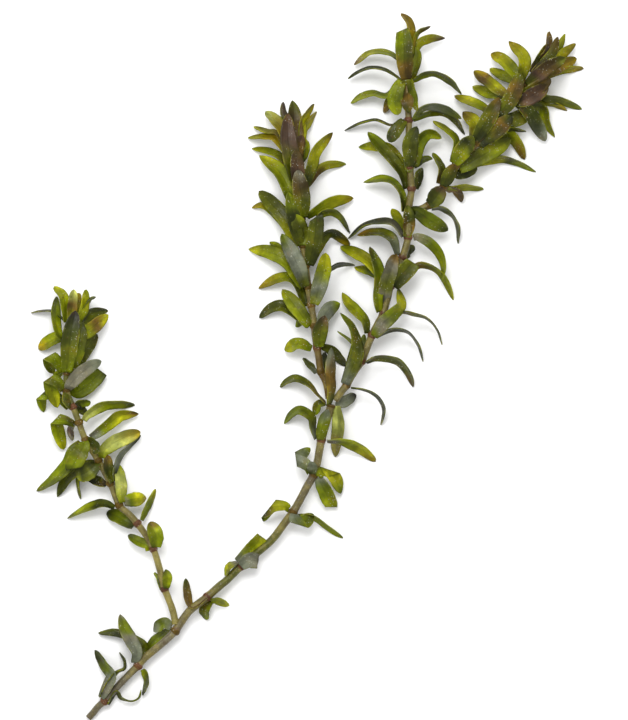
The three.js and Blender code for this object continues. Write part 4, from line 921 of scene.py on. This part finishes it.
RIGHT_WHORLS = (
    ("right_whorl_1", (5.9, -2.7), "b", (
        ("soog", 2.3, 10, 55, (6.4, -0.9, 4.4), (7.2, 1.2, 4.9), (7.4, 3.4, 4.8), (6.7, 5.9, 4.4),
         (5, 8.1, 3.9)),
        ("odd", 1.7, 78, 76, (8.4, -3.4, 3), (10.1, -4.1, 2.6), (11.2, -5.4, 2), (11.5, -6.8, 1.4),
         (11, -8.7, 0.2)),
        ("dl", 1.5, 60, 75, (6.9, 2.9, 2), (6.8, 3.6, 2), (6.2, 4.2, 1.9), (4.6, 5.4, 1.6)),
    )),
    ("right_whorl_2", (8.2, 0.9), "r", (
        ("doob", 1.9, 62, 55, (10.2, 1.25, 4.2), (12.2, 1.25, 4), (13.9, 0.6, 3.2), (15.2, -1.1, 2),
         (15.9, -3.1, 0.2)),
        ("dg", 1.8, 60, 60, (8.2, 2.9, 2.2), (8.7, 4.9, 1.4)),
    )),
    ("right_whorl_3", (9.7, 4.7), "r", (
        ("dly", 2, 45, 36, (8.7, 6.9, 2.8), (7.4, 8.4, 2.4), (6.2, 9.7, 1.8), (5.3, 11.2, 1)),
        ("gtgyd", 2.3, 5, 45, (11.4, 6.5, 4.9), (12.9, 7.9, 4.8), (14.1, 9.3, 4.2), (13.7, 11.8, 3)),
        ("odod", 1.7, 72, 78, (12.3, 5.4, 3.4), (13.8, 5.6, 3.4), (15.4, 4.9, 2.8), (16.7, 3.1, 1.6),
         (17.35, 0.8, 0.2)),
    )),
    ("right_whorl_4", (11.4, 8), "r", (
        ("lgd", 2, 36, 36, (10.6, 10.6, 4.7), (10.8, 14.3, 4.8), (9.4, 18, 3.6)),
        ("dod", 1.7, 78, 78, (14.3, 8.15, 3.2), (16, 7.85, 3.2), (18, 7.2, 2.6), (19.5, 5.5, 1.6),
         (20.2, 3.3, 0.2)),
        ("ttotb", 2.2, 10, 10, (11.5, 9.6, 3.6), (11.8, 12.2, 5), (12.8, 15.2, 5.4), (13.4, 16.9, 4.8)),
    )),
    ("right_whorl_5", (12.5, 12.1), "r", (
        ("ttb", 2.1, 31, 31, (12.5, 14.6, 5), (13, 16.8, 5.2)),
        ("dol", 2.7, 2, 8, (14, 13.5, 4.4), (15.9, 15.6, 4.4, 1), (15.5, 14.6, 3.8)),
        ("lyl", 2.1, 31, 31, (9.7, 15.4, 2.8), (7.6, 16.9, 2), (5, 18.1, 0.2)),
        ("dgy", 1.9, 50, 50, (9.8, 14.2, 1.6), (7.1, 15, 0.2)),
        ("dbly", 1.8, 65, 55, (16.2, 15, 2.8), (18, 15.2, 2.8), (19.8, 14.2, 2.2), (21, 12.4, 1.5),
         (21.9, 10, 0.2)),
    )),
    ("right_whorl_6", (14.3, 16.4), "r", (
        ("sob", 2, 46, 54, (13, 18.9, 4.2), (11.6, 20, 4), (9.6, 20.2, 3.2), (7.5, 19.75, 2.2)),
        ("od", 1.9, 40, 40, (15.2, 17.4, 2.2), (16.2, 17.6, 1.4)),
    )),
    ("right_whorl_7", (15.1, 19.4), "r", (
        ("tglg", 1.8, 10, 62, (16.6, 19.4, 3.9), (18.3, 18.6, 3.7), (19.8, 16.9, 3.2), (20.4, 14.9, 2.8),
         (20.1, 12.8, 2.4)),
        ("tdd", 1.9, 55, 72, (12.9, 21.4, 4), (11, 21.75, 3.6), (8.6, 21.2, 2.4), (6.15, 19.3, 0.2)),
        ("dly", 1.9, 40, 40, (13.6, 22.2, 2.6), (12.7, 23.7, 2.2)),
        ("obdo", 1.9, 10, 10, (15.2, 20.8, 3.8), (15.2, 22.4, 4.8), (15, 24.2, 4.8)),
    )),
    ("right_whorl_8", (15.1, 23.2), "r", (
        ("dgd", 2.3, 15, 15, (16.4, 23.2, 4.9), (18.3, 21.9, 4.4), (21.1, 20.4, 2.6)),
        ("dgl", 1.9, 57, 54, (14.3, 25.6, 4.4), (13.1, 27.5, 4.2), (11.2, 28.2, 3.4), (8.4, 27.7, 1.6)),
    )),
    ("right_whorl_9", (15.6, 26.6), "r", (
        ("dog", 2.1, 40, 25, (14.2, 29.1, 4.2), (12.2, 31.7, 4), (9.1, 35.2, 1.8)),
        ("dd", 1.8, 45, 45, (16.6, 28, 3.2), (17.3, 29.8, 2.4)),
    )),
    ("right_whorl_10", (15.4, 29.9), "r", (
        ("dod", 2.4, 5, 5, (15.4, 33.2, 5.6), (16.4, 35.9, 5.6)),
        ("ogl", 2, 31, 31, (16.8, 33.4, 4), (18.3, 34.8, 3.4), (20.15, 34.2, 2.6)),
        ("lyl", 2, 36, 36, (12.4, 32.4, 2.4), (10.3, 33, 1.6), (7.7, 33, 0.2)),
        ("dg", 1.7, 60, 60, (17.4, 31, 2.8), (18.8, 31.1, 2.2)),
        ("odo", 1.9, 10, 10, (15.4, 31.5, 3.8), (15.3, 29, 4.4)),
    )),
    ("right_whorl_11", (15.2, 36.9), "r", (
        ("od", 2.1, 20, 20, (13.4, 35.4, 4.9), (12.2, 33.6, 4.7)),
        ("bod", 1.7, 80, 78, (12.6, 36.2, 2.7), (10.3, 36.95, 2.4), (8, 36.5, 1.8), (5.6, 35.5, 0.2)),
        ("gsg", 1.9, 60, 50, (16.7, 38.2, 4.6), (18.2, 38.9, 4.6), (20.6, 38.5, 3.8), (23.1, 37.1, 2.4)),
        ("god", 1.8, 60, 60, (18.2, 37.9, 2.8), (20.6, 38, 2.4), (22.3, 36.8, 1.6), (23.6, 34.8, 0.2)),
    )),
    ("right_whorl_12", (14.9, 42.9), "r", (
        ("lgl", 2.3, 5, 10, (13.5, 41.4, 4.8), (13.1, 39.6, 4.6), (13.6, 37.6, 4.4)),
        ("odd", 1.7, 76, 76, (12.7, 43.8, 4.2), (11.3, 44.5, 4), (9.4, 44.7, 3.4), (7.6, 44.1, 2.4),
         (6.1, 43.2, 1.4)),
        ("gl", 1.8, 58, 58, (12, 40.7, 2.6), (9.9, 41, 2.2), (8, 40.5, 1.6), (6.5, 39.6, 0.2)),
        ("gog", 1.8, 60, 60, (16.1, 42.8, 3.8), (17.5, 43.6, 4), (19.2, 43.8, 3.6), (21.4, 42.7, 2.4),
         (23.1, 40.8, 1.2)),
        ("ebogy", 2.7, 3, 3, (14.6, 45.4, 5.9), (14.5, 48, 6.2), (14.4, 50.3, 6.1, 1), (15, 49.7, 5.5)),
        ("bob", 1.6, 40, 40, (12.4, 39.8, 1.5), (11.5, 38.1, 0.2)),
        ("og", 1.8, 50, 50, (15.9, 40, 5.4), (16.4, 38.2, 5.8)),
        ("ol", 1.8, 50, 50, (16.5, 46.3, 4.4), (16.2, 48, 4.2)),
        ("obd", 2.2, 10, 10, (14.9, 41.3, 4.4), (15, 39.5, 5.2), (15.1, 37.9, 5)),
    )),
    ("right_tip", (14.8, 45.6), "v", (
        ("olyv", 1.8, 60, 62, (12.6, 46.8, 3.4), (10.7, 47.2, 3.2), (8.9, 46.8, 2.4), (7, 45.3, 1.2)),
        ("oyv", 1.9, 50, 50, (16.6, 48.2, 3), (18.3, 49.1, 2.6), (20.7, 49.2, 1.4)),
        ("olb", 1.7, 68, 68, (16.3, 49.6, 4), (18.5, 50.9, 2.8)),
        ("oab", 1.8, 46, 46, (15.5, 49.6, 4.8), (15.2, 51.6, 4.2), (14.1, 52.9, 3.2)),
        ("ly", 1.8, 60, 60, (13.8, 47.4, 4), (13.5, 50, 4.2)),
    )),
)

grow_whorls(RIGHT_STEM_LOWER + RIGHT_STEM_UPPER[1:], SHOOT_RADIUS, RIGHT_WHORLS, brightness=1.12)


# ---- The side shoot's whorls
# The side shoot forks off the right one. It has short stretches of stem, broad leaves that overlap,
# and a dark, crowded tip. Each leaf clasps the stem at its node.

SIDE_WHORLS = (
    ("side_whorl_1", (18.2, 24.2), "b", (
        ("dov", 2.6, 8, 10, (18.9, 24.9, 4.9), (20.3, 26.8, 5.1)),
        ("sood", 1.8, 68, 68, (20, 23.7, 3.4), (21.4, 22.9, 2.8), (22.5, 21.2, 1.8), (22.6, 18.5, 0.2)),
    )),
    ("side_whorl_2", (20.4, 27), "b", (
        ("bol", 1.9, 46, 56, (20.1, 29.6, 3.8), (18.9, 32.1, 2.2)),
        ("lyl", 1.8, 64, 62, (23.5, 26.9, 2.2), (26.5, 26.6, 0.2)),
        ("bb", 1.9, 50, 50, (22.4, 26.2, 1.8), (23.1, 24.7, 0.2)),
        ("dob", 2.1, 15, 20, (21.2, 28.7, 5.2), (22, 30.2, 5.6)),
    )),
    ("side_whorl_3", (22.2, 30.1), "b", (
        ("gldo", 2.6, 8, 10, (23.1, 32.1, 5.2), (24.8, 34.4, 5.4)),
        ("golo", 2.7, 5, 5, (25.2, 31, 3.4), (28, 32.6, 3), (30.6, 34.2, 2)),
        ("lydl", 1.9, 58, 62, (26, 30.7, 1.6), (29, 31.2, 1.5), (31.5, 30.6, 1.1), (34.3, 29.2, 0.2)),
        ("dly", 1.9, 60, 58, (22.3, 33.7, 3.4), (21, 35.4, 2.8), (18.9, 36.9, 1.4)),
        ("ddo", 2.2, 15, 20, (22.6, 29, 3.2), (25.5, 30, 2.2)),
    )),
    ("side_whorl_4", (25.4, 33.4), "b", (
        ("dob", 2.4, 10, 10, (27, 37, 5.6), (28.7, 40.2, 5.6)),
        ("vyb", 2.2, 15, 15, (25.2, 36.4, 2.8), (23.3, 38.2, 1.6)),
        ("dlb", 2, 30, 30, (29.6, 34.8, 1.5), (31.4, 33.6, 1.3), (32.6, 31.1, 0.2)),
        ("dod", 1.7, 66, 70, (29.2, 35.5, 3.4), (32.8, 35.2, 1.6)),
        ("dobd", 2.7, 6, 8, (26.6, 34.2, 4.4), (28.4, 35.5, 5), (30.6, 37.5, 4.9)),
    )),
    ("side_whorl_5", (28.4, 37.3), "b", (
        ("dobo", 2.4, 5, 5, (30.6, 40.3, 5.6), (31.8, 43.8, 5.8)),
        ("blya", 1.9, 45, 45, (26.3, 38.9, 3.4), (24.4, 39.8, 2.6), (22.1, 40.7, 1.2)),
        ("dod", 2.4, 8, 8, (31, 37, 3.2), (33.9, 38.2, 2.4)),
    )),
    ("side_whorl_6", (30.6, 40), "b", (
        ("byba", 2.1, 25, 25, (28.3, 41.7, 3.6), (26.8, 43, 2.8), (25, 44.4, 1.4)),
        ("oly", 2, 30, 30, (27.4, 41.1, 1.6), (24.8, 42.1, 0.2)),
        ("eobe", 2.3, 10, 10, (34, 41.4, 4.9), (36.4, 43, 4.8)),
        ("dds", 2.2, 15, 20, (33, 38.2, 4.2), (34.3, 36.4, 3), (35.7, 33.8, 1.2)),
        ("doly", 1.9, 50, 50, (35, 38.8, 1.5), (35.8, 36.5, 1.2), (37.1, 34.4, 0.2)),
        ("dvve", 2.5, 8, 10, (31.9, 39.7, 4.6), (33.7, 40.5, 5.1), (36, 42, 4.7)),
    )),
    ("side_whorl_7", (32.6, 42.2), "b", (
        ("glya", 2.1, 25, 25, (30.7, 44.4, 3.4), (29.3, 45.9, 2.6), (27.6, 47, 1.4)),
        ("oly", 1.9, 36, 36, (29.8, 43.5, 1.5), (27.4, 44.8, 0.2)),
        ("oya", 2.1, 20, 35, (32.4, 46.1, 4.4), (30.2, 48.8, 2.6)),
        ("oveo", 2.2, 10, 10, (36, 44.7, 5.8), (38.6, 46.1, 6)),
        ("dol", 1.9, 54, 54, (35.8, 40.2, 2.6), (38.3, 39.8, 1.8), (41.2, 38.6, 0.2)),
        ("dya", 1.7, 60, 60, (35.6, 39.8, 1.3), (37.4, 39.2, 0.9), (39, 38.4, 0.2)),
    )),
    ("side_tip", (34, 43.6), "v", (
        ("vob", 1.9, 55, 55, (34.7, 46.1, 4.4), (36.1, 48.3, 3.6)),
        ("ovb", 1.8, 50, 50, (35.9, 47, 3.6), (36.3, 50.2, 2.6)),
        ("vob", 1.9, 40, 40, (36.4, 46.6, 4.6), (37.5, 49.3, 4.2)),
        ("vya", 1.9, 45, 45, (37.1, 45.9, 2.9), (40.3, 48.4, 1.4)),
        ("oba", 2.1, 25, 25, (37.6, 44.9, 2.6), (40.4, 46.2, 1.4)),
        ("oya", 1.8, 55, 55, (37.4, 44.2, 1.6), (39.8, 44.6, 1), (41.5, 44.7, 0.2)),
        ("vly", 1.7, 50, 50, (37, 46.6, 3.4), (38.7, 49.9, 1.8)),
    )),
)

grow_whorls(SIDE_STEM, SHOOT_RADIUS, SIDE_WHORLS, brightness=1.1)
